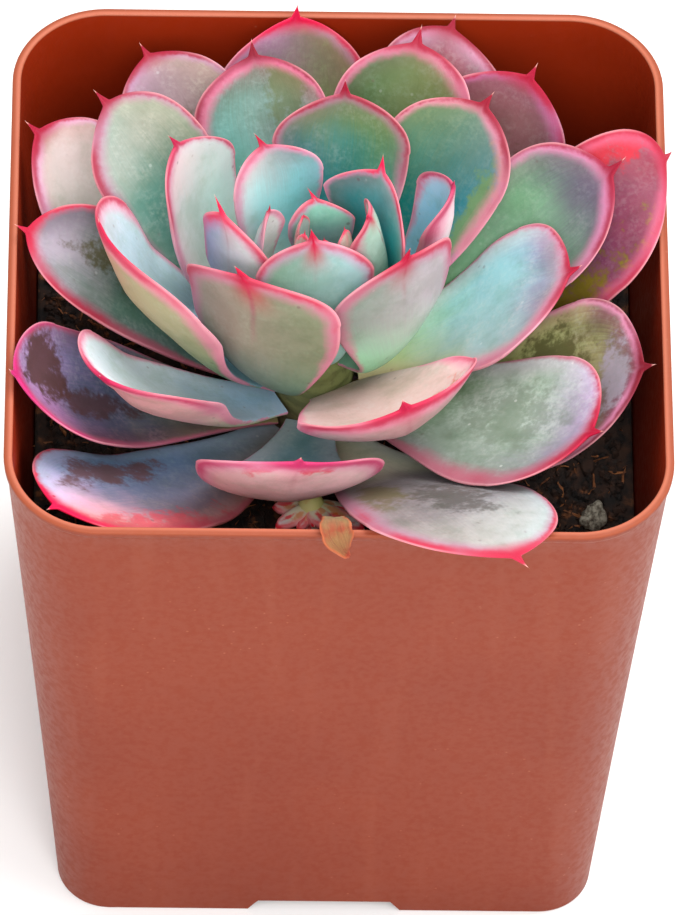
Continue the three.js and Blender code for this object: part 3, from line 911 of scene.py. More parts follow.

# The colours in the leaf tables below were set leaf by leaf for how each leaf looks where it sits, so besides
# its own colour each holds painted light and shade: darker where a leaf lies in shade, paler where a shaded
# leaf is lifted.
OUTER_LEAVES = [
    Leaf(221.9, 52.2, -2, -26.1, 23.6, 10.5, 33.3, 0.2, -9.9, -2.8, -2.6, replace(
        LAVENDER, root=(131, 136, 147), body=(124, 141, 186), blush=(240, 196, 240), light=1.082,
        margin=(178, 74, 92), core=(228, 22, 76), haze=(240, 210, 233), left=(255, 201, 168),
        right=(212, 255, 255), width=1.5, sway=-0.6, speckle=0.9,
        spot_a=Spot((116, 81, 79), 0.62, 0.45, 0.2, 0.3, 0.85),
        spot_b=Spot((221, 54, 69), 0.75, -0.85, 0.3, 0.35, 0.6))),
    Leaf(204.3, 46.2, 4.4, -23.3, 19.6, 17.8, 60.4, 3.1, 7.7, 3.3, 1, replace(
        LAVENDER, root=(163, 201, 129), body=(89, 110, 140), blush=(189, 154, 219), light=0.585,
        margin=(178, 89, 116), core=(197, 44, 114), haze=(120, 49, 47), left=(242, 198, 200), width=1.1,
        sway=-0.3, speckle=0.9, spot_a=Spot((87, 60, 58), 0.8, 0.35, 0.11, 0.7, 0.95),
        spot_b=Spot((87, 60, 58), 0.6, -0.15, 0.18, 0.25, 0.8))),
    Leaf(169.9, 43.1, 2.4, -20.8, 16.4, 19.5, 22.8, 2.2, 5.2, 0.4, 0.5, replace(
        LAVENDER, root=(13, 126, 97), body=(91, 130, 115), blush=(195, 183, 200), light=0.425,
        margin=(178, 77, 103), core=(182, 14, 55), haze=(120, 84, 120), right=(149, 149, 149), width=1.4,
        sway=-0.5, spot_a=Spot((77, 73, 42), 0.66, 0.3, 0.16, 0.35, 0.85))),
    Leaf(147.7, 48.3, 3.3, -25.4, 19.5, -5.5, 41.1, 0.5, -0.9, 2.2, -0.6, replace(
        LAVENDER, root=(140, 157, 136), body=(193, 195, 185), blush=(205, 193, 190), light=0.922,
        margin=(225, 164, 204), core=(162, 12, 48), haze=(188, 132, 125), right=(244, 230, 231), width=1.3,
        sway=-0.5)),
    Leaf(121.4, 49, 0.3, -21.5, 17.5, 9.1, 9.5, 3.1, 10.9, 0.4, -0.1, replace(
        LAVENDER, root=(87, 86, 70), body=(127, 113, 119), blush=(145, 125, 136), light=0.602,
        margin=(181, 132, 165), core=(150, 12, 43), haze=(199, 166, 180), left=(255, 236, 255),
        right=(254, 255, 225), width=1.1, sway=-0.3, farina=0.25,
        spot_a=Spot((91, 86, 51), 0.6, 0.25, 0.14, 0.4, 0.9))),
    Leaf(94, 45, 5.4, -26, 24, 6.6, 80.7, 2.5, -18.8, -3.6, -0.5, replace(
        LAVENDER, root=(137, 146, 55), body=(143, 142, 132), blush=(182, 136, 178), light=1.058,
        margin=(216, 148, 184), core=(224, 20, 70), haze=(205, 135, 164), right=(205, 245, 150), width=1.4)),
    Leaf(69, 49.7, 1.8, -28.9, 20.7, -7.9, -7.4, 2.6, -20.8, 3.8, 0.6, replace(
        LAVENDER, root=(91, 48, 39), body=(124, 62, 73), blush=(134, 71, 84), light=0.577,
        margin=(194, 123, 153), core=(135, 12, 38), haze=(188, 169, 193), width=1.3, sway=0.2, farina=0.2)),
    Leaf(47.7, 44.6, 7, -22.3, 21.4, 10, 48, -0.3, -30.7, -1.9, -0.9, replace(
        LAVENDER, root=(92, 81, 40), body=(118, 84, 82), blush=(131, 81, 91), light=0.411,
        margin=(185, 98, 144), core=(164, 12, 48), haze=(130, 72, 101), left=(255, 242, 236),
        right=(252, 255, 255), width=1.3, sway=0.5, farina=0.12,
        spot_a=Spot((76, 71, 41), 0.6, 0.4, 0.14, 0.4, 0.8),
        spot_b=Spot((73, 49, 48), 0.45, -0.2, 0.2, 0.4, 0.5))),
    Leaf(18.2, 53.3, 0.1, -26.3, 20.3, -4.3, -46.5, 1.3, -16.5, 1.4, -7.8, replace(
        LAVENDER, root=(115, 105, 30), body=(105, 54, 84), blush=(132, 56, 72), light=0.288,
        margin=(200, 94, 123), core=(162, 20, 49), haze=(150, 70, 100), sway=0.2, haze_share=0.19,
        farina=0.12, speckle=0.9, spot_a=Spot((118, 106, 20), 0.45, 0.65, 0.3, 0.5, 0.9),
        spot_b=Spot((190, 25, 45), 0.75, -0.75, 0.3, 0.35, 0.8))),
    Leaf(341.6, 47.3, 4, -24, 25, 16.4, 40.7, 1.2, -12.4, 0.7, 0.9, replace(
        LAVENDER, root=(175, 228, 112), body=(187, 192, 123), blush=(81, 40, 55), light=0.425,
        margin=(240, 157, 196), core=(114, 12, 30), haze=(183, 107, 128), left=(246, 255, 255),
        right=(255, 230, 247), width=1.2, sway=0.2, farina=0.2,
        spot_a=Spot((77, 73, 42), 0.62, -0.4, 0.14, 0.4, 0.8),
        spot_b=Spot((151, 142, 154), 0.86, 0.1, 0.07, 0.6, 0.9))),
    Leaf(295.9, 57.9, 6, -25.5, 25.4, 20.1, 8.1, -0.4, 13.4, -0.4, -1.8, replace(
        LAVENDER, root=(233, 234, 210), body=(137, 136, 142), blush=(182, 186, 185), light=0.879,
        margin=(178, 118, 147), core=(187, 15, 56), haze=(191, 212, 219), right=(233, 217, 212), width=1.8,
        sway=0.5, spot_a=Spot((90, 87, 83), 0.62, -0.1, 0.14, 0.4, 0.8),
        spot_b=Spot((109, 104, 62), 0.5, 0.6, 0.14, 0.3, 0.7))),
    Leaf(264.9, 35.4, 8.5, -21.9, 25.4, 7.4, 74, 2.8, -5.5, 2.9, 0.1, replace(
        LAVENDER, root=(110, 150, 160), body=(120, 150, 175), blush=(190, 200, 215),
        under_root=(240, 236, 224), under=(240, 199, 203), margin=(222, 137, 173), core=(190, 39, 95),
        haze=(240, 223, 233), left=(254, 255, 255), right=(255, 248, 245), haze_share=0.22, speckle=0.45,
        spot_a=Spot((240, 66, 83), 0.9, -0.35, 0.05, 0.3, 0.9, Face.UNDER),
        spot_b=Spot((240, 66, 83), 0.88, 0.6, 0.06, 0.2, 0.7, Face.UNDER))),
]
MIDDLE_LEAVES = [
    Leaf(214.8, 37.1, 7.6, -19.8, 20.9, 20.3, 59.3, 4, -18.7, 1.7, -0.2, replace(
        MINT, root=(150, 190, 220), body=(215, 235, 245), blush=(225, 235, 245), under_root=(215, 225, 180),
        under=(240, 190, 185), margin=(240, 133, 169), core=(190, 30, 80), haze=(235, 238, 245), width=1.2,
        haze_share=0.22)),
    Leaf(185.9, 30.8, 15.6, -16.9, 27.3, 40.6, 70.4, 4.8, -24, -1.4, 2.3, replace(
        MINT, root=(120, 175, 210), body=(205, 230, 245), blush=(225, 225, 240), under_root=(120, 150, 110),
        under=(200, 175, 140), margin=(235, 131, 164), core=(190, 27, 68), haze=(230, 235, 245),
        left=(215, 235, 225), width=1.6, haze_share=0.22)),
    Leaf(141.9, 41.1, 9.4, -19.3, 16.5, 33.3, 5.5, 0.8, 29.8, -0.6, 0.9, replace(
        MINT, root=(53, 112, 97), body=(82, 132, 121), blush=(161, 166, 158), light=0.646,
        margin=(180, 117, 152), core=(152, 12, 44), haze=(155, 176, 163), right=(247, 231, 215), width=1.4,
        sway=-0.5)),
    Leaf(106.8, 37.4, 8.6, -16.6, 19.1, 29.2, 47.8, 2.6, 20.6, 0.9, 0.7, replace(
        MINT, root=(124, 174, 163), body=(139, 172, 165), blush=(118, 98, 78), light=0.483,
        margin=(240, 115, 160), core=(128, 12, 35), haze=(184, 114, 124), left=(190, 255, 255),
        right=(255, 235, 235), width=1.4, sway=-0.4, speckle=0.5,
        spot_a=Spot((107, 118, 67), 0.82, 0.45, 0.16, 0.35, 0.6))),
    Leaf(72.1, 41.8, 7.6, -18.6, 19.2, 19.6, 23.6, 2.2, -5, 2.3, 0.6, replace(
        MINT, root=(80, 111, 80), body=(91, 106, 60), blush=(106, 112, 69), light=0.46,
        margin=(215, 115, 152), core=(149, 12, 43), haze=(151, 104, 101), left=(167, 209, 196), width=1.4,
        sway=0.3, farina=0.15)),
    Leaf(48.2, 34, 11.4, -15.5, 18.5, 15.6, 41.2, 3.3, -12.2, -0.3, 0.6, replace(
        MINT, root=(21, 127, 118), body=(21, 123, 143), blush=(97, 126, 120), light=0.646,
        margin=(237, 136, 169), core=(142, 12, 40), haze=(102, 126, 125), left=(255, 243, 180),
        right=(251, 255, 255), width=1.4, sway=0.5, farina=0.15,
        spot_a=Spot((119, 147, 78), 0.6, 0.8, 0.3, 0.3, 0.7))),
    Leaf(19.4, 44.1, 8.5, -19.8, 20.6, 18.3, 35.6, 3.5, -8.8, -0.8, -1.6, replace(
        MINT, root=(113, 172, 101), body=(116, 164, 128), blush=(93, 88, 103), light=0.217,
        margin=(228, 138, 180), core=(143, 12, 41), haze=(146, 114, 125), left=(249, 255, 248),
        right=(255, 236, 255), width=1.7, sway=0.4, farina=0.15)),
    Leaf(357.3, 35, 5.7, -16.2, 23.8, 18.3, 34.5, 1.8, 9, -0.8, -1.3, replace(
        MINT, root=(190, 231, 167), body=(149, 202, 209), blush=(139, 122, 161), light=0.868,
        margin=(207, 116, 148), core=(161, 12, 47), haze=(230, 193, 187), left=(247, 255, 255),
        right=(255, 216, 211), width=1.7, sway=0.6)),
    Leaf(324.4, 46.1, 3.9, -19.7, 23.5, 34.1, 43.4, 1.7, -4.4, 0.2, 0.2, replace(
        MINT, root=(61, 126, 23), body=(158, 178, 163), blush=(173, 154, 187), light=0.817,
        margin=(178, 85, 109), core=(171, 12, 51), haze=(199, 176, 207), right=(199, 200, 197), width=1.9,
        sway=0.6, farina=0.5, speckle=0.5, spot_a=Spot((102, 113, 98), 0.6, -0.1, 0.2, 0.5, 0.45))),
    Leaf(294.3, 27.9, 9.3, -15.5, 26.5, 53.3, 97.9, 4.6, 0.3, 0.2, 1.5, replace(
        MINT, root=(190, 160, 150), body=(215, 182, 176), blush=(232, 200, 196), under_root=(190, 160, 150),
        under=(205, 165, 165), margin=(235, 122, 158), core=(186, 25, 64), haze=(240, 210, 212), width=1.6,
        spot_a=Spot((215, 84, 50), 0.84, -0.4, 0.16, 0.45, 0.85))),
]
INNER_LEAVES = [
    Leaf(228.4, 17, 19.3, -11.9, 23, 19.8, 64.2, 2.1, -18, -1.3, 1.7, replace(
        TEAL, root=(57, 96, 77), body=(61, 102, 94), blush=(81, 115, 111), under_root=(133, 145, 141),
        under=(165, 144, 133), margin=(213, 122, 155), core=(192, 15, 58), haze=(139, 139, 145),
        left=(199, 239, 206), width=1.4, sway=0.2, keel=0.95)),
    Leaf(322.8, 13.6, 18.4, -9.6, 19.6, 10, 74.8, 1.9, 23.9, -0.2, -0.8, replace(
        TEAL, root=(87, 142, 116), body=(93, 150, 138), blush=(121, 169, 163), under_root=(194, 240, 215),
        under=(186, 173, 182), margin=(194, 109, 139), core=(177, 13, 53), haze=(203, 203, 211),
        right=(186, 222, 197), width=1.4, keel=0.7)),
    Leaf(83.2, 23.5, 15.7, -13.4, 18.7, 56.2, 82.9, 2.1, -7.4, 0.1, -0.2, replace(
        TEAL, root=(33, 120, 127), body=(38, 125, 123), blush=(112, 131, 79), light=0.646,
        margin=(185, 117, 146), core=(158, 12, 46), haze=(144, 134, 124), left=(255, 228, 255),
        right=(238, 255, 235), width=1.2, sway=0.2)),
    Leaf(145.3, 22.6, 20.8, -14.2, 16.1, 31.3, 79.2, 1.8, -7.9, -3.4, -4.7, replace(
        TEAL, root=(110, 178, 118), body=(197, 220, 213), blush=(222, 214, 210), under_root=(192, 227, 168),
        under=(232, 232, 220), margin=(203, 120, 152), core=(185, 29, 73), haze=(231, 209, 216),
        left=(255, 230, 238), right=(238, 255, 255), width=1.3, sway=-0.5)),
    Leaf(13.4, 17.1, 20.5, -11.9, 9.7, 30, 92.5, 3.6, 16.6, -2, 1.7, replace(
        TEAL, root=(110, 190, 220), body=(140, 220, 250), blush=(180, 225, 250), under_root=(170, 215, 210),
        under=(240, 215, 220), margin=(235, 122, 159), core=(190, 36, 89), haze=(190, 215, 240), width=1.4,
        sway=0.4)),
    Leaf(120.7, 14.7, 18.7, -9.3, 13.6, 40.4, 59.3, 0.9, -5.4, -1.1, -2.7, replace(
        TEAL, root=(240, 240, 240), body=(180, 240, 240), blush=(181, 166, 162), under_root=(198, 234, 173),
        under=(240, 240, 227), margin=(221, 132, 168), core=(179, 14, 54), haze=(240, 178, 183),
        right=(158, 206, 215), width=1.1, sway=-0.4)),
]
HEART_LEAVES = [
    Leaf(196.5, 15.1, 20.8, -9.8, 13.3, 43, 66.8, 1.1, -35.7, 1.1, 3.8, replace(
        TEAL, root=(109, 177, 144), body=(116, 186, 172), blush=(151, 210, 203), under_root=(240, 240, 220),
        under=(240, 240, 240), margin=(209, 95, 139), core=(216, 19, 67), haze=(240, 240, 240),
        right=(149, 159, 198), width=1.2)),
    Leaf(42.7, 10.2, 20.3, -7, 17.1, 40.9, 62.9, 3.1, 7.8, 3.6, 0.1, replace(
        TEAL, root=(56, 179, 178), body=(68, 203, 209), blush=(106, 181, 187), light=1.218,
        margin=(216, 141, 176), core=(228, 22, 77), haze=(191, 176, 166), left=(187, 167, 168), width=0.9,
        sway=0.3)),
    Leaf(258.8, 7.5, 22, -7.7, 16.3, 30.5, 82.4, 0.3, -10.6, 0, 0.8, replace(
        TEAL, root=(101, 164, 134), body=(108, 173, 160), blush=(140, 194, 188), under_root=(132, 181, 172),
        under=(159, 195, 197), margin=(200, 141, 175), core=(192, 15, 58), haze=(233, 233, 240),
        right=(209, 211, 185), width=1.1, keel=1)),
    Leaf(187.6, 7.7, 19.5, -4.9, 6.1, 44.3, 90.2, 1.3, 24.4, 1, -0.2, replace(
        TEAL, root=(240, 240, 240), body=(240, 240, 240), blush=(240, 240, 240), under_root=(240, 240, 240),
        under=(240, 240, 240), margin=(240, 142, 183), core=(197, 16, 60), haze=(240, 240, 240), width=0.8,
        keel=1)),
    Leaf(325.2, 7.1, 23, -4.4, 8.5, 38.5, 77.1, 2.3, -5.3, -3.5, 2, replace(
        TEAL, root=(120, 190, 160), body=(150, 205, 180), blush=(190, 215, 200), under_root=(120, 190, 160),
        under=(180, 212, 196), margin=(225, 112, 148), core=(199, 28, 72), haze=(205, 210, 205), width=0.9,
        keel=1)),
    Leaf(93.3, 5, 14.9, -2.8, 9.3, 62.6, 59.4, 0.2, -13.8, -0.1, -2.4, replace(
        TEAL, root=(105, 141, 140), body=(130, 162, 168), blush=(127, 203, 178), under_root=(186, 220, 163),
        under=(228, 227, 213), margin=(205, 153, 190), core=(218, 19, 68), haze=(165, 199, 184), width=0.7)),
]
TIP_LEAVES = [
    Leaf(300, 4.6, 18.5, 3.2, 3.6, 60, 95, 0.4, 0, 0, 0, TEAL),
    Leaf(236, 5.2, 18, 3.2, 3.2, 60, 95, 0.4, 0, 0, 0, TEAL),
    Leaf(265, 3.6, 15.5, 3.8, 2.6, 70, 90, 0.3, 0, 0, 0, TEAL),
    Leaf(180, 3.0, 16, 3.8, 2.8, 70, 95, 0.3, 0, 0, 0, TEAL),
]


@dataclass
class Rosette:
    """All the leaves that grow from the stem."""

    layers: dict[str, tuple[LeafKind, list[Leaf]]] = field(default_factory=lambda: {
        "outer": (LeafKind(2.6, 2.3, 0.953, 0.28, 0.13, "outer_leaf"), OUTER_LEAVES),
        "middle": (LeafKind(2.6, 2.5, 0.94, 0.31, 0.15, "middle_leaf"), MIDDLE_LEAVES),
        "inner": (LeafKind(2.1, 2.4, 0.92, 0.34, 0.2, "inner_leaf"), INNER_LEAVES),
        "heart": (LeafKind(1.7, 1.6, 0.91, 0.28, 0.19, "inner_leaf"), HEART_LEAVES),
    })

    def build(self) -> list[bpy.types.Object]:
        """Makes every leaf.

        Returns:
            One object a leaf.
        """
        pieces = []
        for layer, (kind, leaves) in self.layers.items():
            for number, leaf in enumerate(leaves, 1):
                title = f"{layer}_{number:02d}"
                skin, maps = leaf.skin(kind, 100 * len(pieces) + number)
                material = replace(leaf.look, name=f"skin_{title}").material()
                piece = make_piece(f"blade_{title}", skin, material, maps)
                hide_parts(f"leaf_{title}")
                pieces.append(piece)
        return pieces


@dataclass
class GrowingTip:
    """The tiny leaves in the middle of the rosette, on their core."""

    kind: LeafKind = LeafKind(1.3, 1.6, 0.93, 0.25, 0.15, "inner_leaf")
    core: tuple[tuple[float, float], ...] = ((1.9, 1.4), (4.5, 2.1), (7, 1.4), (9.5, 0.6))
    first_seed: int = 900
    look: LeafLook = replace(
        TEAL, name="skin_tip", body=(122, 168, 146), blush=(170, 196, 180), margin=(200, 150, 150),
        width=0.35, haze_share=0.45, speckle=0.2)

    def build(self) -> bpy.types.Object:
        """Makes the leaves and the core as one piece.

        Returns:
            The piece.
        """
        parts, rows = [], []
        for number, leaf in enumerate(TIP_LEAVES):
            skin, maps = leaf.skin(self.kind, self.first_seed + number)
            parts.append(skin)
            rows.append((maps["place"], maps["edge"]))
        heights = np.linspace(self.core[0][0], self.core[-1][0], 12)
        parts.append(loft([round_ring(STEM_AT, float(np.interp(z, *zip(*self.core))), RIM + z, 24)
                           for z in heights]))
        rows.append(plain_layers(len(parts[-1][0]), 0.3))
        piece = make_piece("growing_tip", joined(parts), self.look.material(),
                           joined_layers(rows))
        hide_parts("leaf_bud")
        return piece


@dataclass(frozen=True)
class TerracottaPlastic(Finish):
    """Terracotta-coloured plastic, a little dusty and scuffed."""

    name: str = "terracotta_plastic"
    gloss: float = 0.22
    depth: float = 0.05
    depth_radius: Place = (1.0, 0.4, 0.25)
    depth_scale: float = 0.001
    # Painted shade: the wall's colour darkens towards the foot.
    foot: Colour = (117, 40, 12)
    wall: Colour = (124, 45, 15)
    cloud: Colour = (134, 53, 21)
    scuff: Colour = (170, 104, 78)
    lip: Colour = (146, 70, 44)
    # Painted highlight on the inner edge of the lip.
    lip_edge_highlight: Colour = (176, 98, 74)
    # Painted shade: the inside is coloured deeper red than the outside, and darker lower down.
    inside_shade_low: Colour = (92, 24, 9)
    inside_shade_high: Colour = (152, 42, 11)
    speck: Colour = (180, 122, 96)

    def pattern(self, g: Graph) -> tuple[Socket, Socket, Socket]:
        """Lays clouds, scuffs, the lighter lip and its painted inner-edge highlight, painted shade towards
        the foot and inside the pot, and pale specks.

        Args:
            g: The material's graph.

        Returns:
            Its colour, its roughness and its normal.
        """
        at = g.place()
        height = g.split(at)[2]
        inside, lip = g.split(g.layer("face"))[:2]
        cloud = g.noise(at, 28, 3, 0.5)
        grain = g.noise(at, 900, 3, 0.6)
        streak = g.noise(g.stretch(at, (260, 260, 14)), 1.0, 2, 0.5)
        # Darker towards the foot: painted shade.
        colour = g.blend(g.rise(height, 0.0, 0.1), self.foot, self.wall)
        colour = g.tint(g.rise(cloud, 0.3, 0.7, 0.35), colour, self.cloud)
        colour = g.tint(g.rise(streak, 0.5, 0.75, 0.05), colour, self.scuff)
        colour = g.tint(g.rise(lip, 0.0, 1.0), colour, self.lip)
        # Painted highlight along the inner edge of the lip's top.
        colour = g.tint(g.rise(lip, 1.0, 2.0), colour, self.lip_edge_highlight)
        # Painted shade inside the pot: deeper red than the outside, darkening towards the soil.
        inside_shade = g.blend(g.rise(height, 0.045, 0.09), self.inside_shade_low, self.inside_shade_high)
        colour = g.mix(inside, colour, inside_shade)
        specks = g.times(g.rise(g.spots(at, 520), 0.12, 0.05), g.rise(cloud, 0.45, 0.6), 0.25)
        colour = g.tint(specks, colour, self.speck)
        rough = g.math("MULTIPLY_ADD", g.rise(grain, 0.35, 0.7), 0.14, 0.42)
        relief = g.math("MULTIPLY_ADD", grain, 0.4, g.times(streak, 0.25))
        return colour, rough, g.bump(relief, 0.00008, 0.5)


@dataclass(frozen=True)
class Grained(Finish):
    """A dull stuff of two colours, mixed by its grain.

    Scale and detail are the grain's, low and high are where the second colour starts and
    is full, rough is the least roughness, and bump and bump_share are the relief's height
    in metres and its strength.
    """

    dark: Colour = (0, 0, 0)
    pale: Colour = (255, 255, 255)
    scale: float = 500
    detail: float = 3
    grit: float = 0.6
    low: float = 0.3
    high: float = 0.7
    rough: float = 0.65
    bump: float = 0.0003
    bump_share: float = 0.9

    def pattern(self, g: Graph) -> tuple[Socket, Socket, Socket]:
        """Lays the grain.

        Args:
            g: The material's graph.

        Returns:
            Its colour, its roughness and its normal.
        """
        at = g.place()
        grain = g.noise(at, self.scale, self.detail, self.grit)
        rough = g.math("MULTIPLY_ADD", grain, 0.2, self.rough)
        return self.colour(g, at, grain), rough, g.bump(grain, self.bump, self.bump_share)

    def colour(self, g: Graph, at: Socket, grain: Socket) -> Socket:
        """The two colours, mixed by the grain."""
        return g.blend(g.rise(grain, self.low, self.high), self.dark, self.pale)


@dataclass(frozen=True)
class Earth(Grained):
    """Dark peat with browner crumbs."""

    warm: Colour = (146, 88, 48)

    def colour(self, g: Graph, at: Socket, grain: Socket) -> Socket:
        """Mixes the two colours and warms some of the crumbs.

        Args:
            g: The material's graph.
            at: The place in the object.
            grain: The grain.

        Returns:
            The colour.
        """
        share = g.times(g.rise(grain, 0.54, 0.7), g.rise(g.noise(at, 110, 2, 0.5), 0.42, 0.6), 0.8)
        return g.tint(share, super().colour(g, at, grain), self.warm)


@dataclass(frozen=True)
class StemBark(Grained):
    """Brown bark that turns green towards the leaves."""

    scar: Colour = (74, 58, 40)

    def colour(self, g: Graph, at: Socket, grain: Socket) -> Socket:
        """Turns the brown to green with height and lays darker scars on it.

        Args:
            g: The material's graph.
            at: The place in the object.
            grain: The grain.

        Returns:
            The colour.
        """
        skin = g.blend(g.rise(g.split(at)[2], 0.07, 0.098), self.dark, self.pale)
        return g.tint(g.rise(grain, 0.5, 0.7, 0.6), skin, self.scar)


EARTH = Earth("potting_soil", dark=(17, 12, 10), pale=(54, 34, 23), scale=420, detail=4, low=0.35, high=0.62,
              rough=0.75, bump=0.0005)
BARK_FIBRE = Grained("bark_fibre", dark=(72, 38, 20), pale=(172, 108, 62), scale=700, bump=0.0002,
                     bump_share=0.6)
PERLITE = Grained("perlite_mineral", dark=(84, 76, 62), pale=(164, 160, 144), scale=1300, detail=4, grit=0.65,
                  low=0.32, high=0.62, rough=0.7)
STEM_BARK = StemBark("stem_bark", dark=(96, 76, 50), pale=(142, 156, 92), rough=0.6, bump_share=0.7)


@dataclass(frozen=True)
class DryLeafSkin(Finish):
    """Papery, dead leaf skin, greener at its root and redder at its tip."""

    name: str = "dried_leaf_skin"
    straw: Colour = (134, 92, 48)
    rust: Colour = (140, 58, 26)
    rib: Colour = (104, 48, 24)
    root: Colour = (150, 140, 100)
    tip: Colour = (150, 40, 16)
    edge: Colour = (186, 88, 48)

    def pattern(self, g: Graph) -> tuple[Socket, Socket, Socket]:
        """Lays the blotches, the ribs, the root, the tip and the paler edge.

        Args:
            g: The material's graph.

        Returns:
            Its colour, its roughness and its normal.
        """
        place = g.layer("place")
        blotch = g.noise(g.place(), 380, 3, 0.6)
        rib = g.noise(g.stretch(place, (3, 26, 1)), 1.0, 2)
        length = g.split(place)[0]
        colour = g.blend(g.rise(blotch, 0.35, 0.65), self.straw, self.rust)
        colour = g.tint(g.rise(rib, 0.45, 0.7, 0.6), colour, self.rib)
        colour = g.tint(g.rise(length, 0.55, 0.3, 0.7), colour, self.root)
        colour = g.tint(g.rise(length, 0.8, 0.95, 0.8), colour, self.tip)
        colour = g.tint(g.rise(g.split(g.layer("edge"))[0], 0.06, 0.01, 0.7), colour, self.edge)
        relief = g.math("MULTIPLY_ADD", rib, 0.7, blotch)
        return colour, g.math("MULTIPLY_ADD", blotch, 0.2, 0.6), g.bump(relief, 0.0003, 0.9)


@dataclass
class Pot:
    """The square nursery pot with round corners."""

    rim_half: float = 45.0
    height: float = RIM
    foot_half: float = 38.0
    rim_corner: float = 13.0
    foot_corner: float = 7.5
    wall: float = 0.9
    belly: float = 0.12
    foot_round: float = 0.3
    lip_out: float = 0.3
    lip_height: float = 1.2
    crown_round: float = 0.35
    inner_round: float = 0.3
    floor_under: float = 2.8
    floor_top: float = 4.4
    floor_fillet: float = 1.5
    notch_width: float = 22.0
    notch_ramp: float = 1.6
    notch_height: float = 2.6
    drain_radius: float = 3.2
    drain_spread: float = 19.0
    corner_steps: int = 20
    side_steps: int = 10
    crease: float = 38.0
    cut_reach: float = 60.0
    drain_cut: tuple[float, float] = (-3.0, 12.0)

    def ring(self, z: float, inset: float, corner_steps: int = 0, side_steps: int = 0) -> Points:
        """The outline at a height.

        Args:
            z: The height.
            inset: How far it lies inside the wall's outer face.
            corner_steps: Parts of each round corner, or 0 for the pot's own.
            side_steps: Parts of each straight side, or 0 for the pot's own.

        Returns:
            A closed ring of points, anticlockwise from above.
        """
        share = z / self.height
        half = self.foot_half + (self.rim_half - self.lip_out - self.foot_half) * share - inset
        corner = self.foot_corner + (self.rim_corner - self.lip_out - self.foot_corner) * share - inset
        steps, parts = corner_steps or self.corner_steps, side_steps or self.side_steps
        points = []
        for sx, sy, start in ((1, 1, 0), (-1, 1, 90), (-1, -1, 180), (1, -1, 270)):
            for k in range(steps + 1):
                a = math.radians(start + 90 * k / steps)
                points.append((sx * (half - corner) + corner * math.cos(a),
                               sy * (half - corner) + corner * math.sin(a), z))
            here = np.array(points[-1])
            a = math.radians(start + 180)
            turn = np.array([math.cos(a), math.sin(a)])
            for k in range(1, parts):
                points.append((*(here[:2] + turn * 2 * (half - corner) * k / parts), z))
        return np.array(points)

    def build(self) -> bpy.types.Object:
        """Makes the pot, with its foot notches and drain holes cut out.

        Returns:
            The piece.
        """
        top, foot, out = self.height, self.height - self.lip_height, -self.lip_out
        profile = [(self.floor_under, self.wall), (0, self.wall), (0, self.foot_round), (self.foot_round, 0)]
        profile += [(z, self.belly * math.sin(math.pi * z / foot)) for z in np.linspace(8, foot - 4, 9)]
        profile += [(foot - 0.5, 0), (foot - 0.2, -0.07), (foot, -0.2), (foot + 0.2, out), (top - 0.4, out)]
        for k in range(1, 6):
            a, r = math.radians(18 * k), self.crown_round
            profile.append((top - r * (1 - math.sin(a)), out + r * (1 - math.cos(a))))
        crown = len(profile)
        for k in range(5):
            a, r = math.radians(90 - 18 * k), self.inner_round
            profile.append((top - r * (1 - math.sin(a)), self.wall - r * (1 - math.cos(a))))
        outside = len(profile)
        profile += [(z, self.wall) for z in (top - 0.4, *np.linspace(top - 4, self.floor_top + 2, 8))]
        profile += [(self.floor_top + 0.5, self.wall + 0.5), (self.floor_top, self.wall + self.floor_fillet)]
        rings = [self.ring(z, inset) for z, inset in profile]
        points, faces = loft(rings)
        number = np.append(np.repeat(np.arange(len(rings)), len(rings[0])), [0, len(rings)])
        on_lip = smooth_step(top - 0.6, top, points[:, 2]) * (number < outside)
        # Past the crown the lip number goes on from 1 to 2, where the painted highlight on the lip's inner
        # edge lies.
        past_crown = (number >= crown) * (number < outside)
        layers = {"face": np.stack([1.0 * (number >= outside), on_lip + past_crown], 1)}
        body = make_piece("pot_wall", (points, faces), TerracottaPlastic().material(), layers,
                          self.crease)
        self.cut(body)
        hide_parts("pot")
        return body

    def cut(self, body: bpy.types.Object) -> None:
        """Cuts the foot notches and the drain holes out of the pot.

        Args:
            body: The pot, whose mesh is replaced by the cut one.
        """
        w, r, h = self.notch_width / 2, self.notch_ramp, self.notch_height
        profile = np.array([(-w, -1), (w, -1), (w, 0), (w - r, h), (-w + r, h), (-w, 0)])
        ends = [np.stack([profile[:, 0], np.full(6, y), profile[:, 1]], 1)
                for y in (self.cut_reach, -self.cut_reach)]
        parts = [loft(ends), loft([end[:, [1, 0, 2]] * [-1, 1, 1] for end in ends])]
        for x, y in ((0, 0), (1, 1), (-1, 1), (-1, -1), (1, -1)):
            at = np.array([x, y]) * self.drain_spread
            parts.append(loft([round_ring(at, self.drain_radius, z, 32) for z in self.drain_cut]))
        for number, (points, faces) in enumerate(parts):
            cutter = add_mesh(f"cutter_{number}", packed(points), faces)
            modifier = body.modifiers.new("cut", "BOOLEAN")
            modifier.operation, modifier.object, modifier.solver = "DIFFERENCE", cutter, "EXACT"
            uncut = body.data
            body.data = evaluated_mesh(body)
            bpy.data.meshes.remove(uncut)
            bpy.data.objects.remove(cutter)
        body.data.set_sharp_from_angle(angle=math.radians(self.crease))


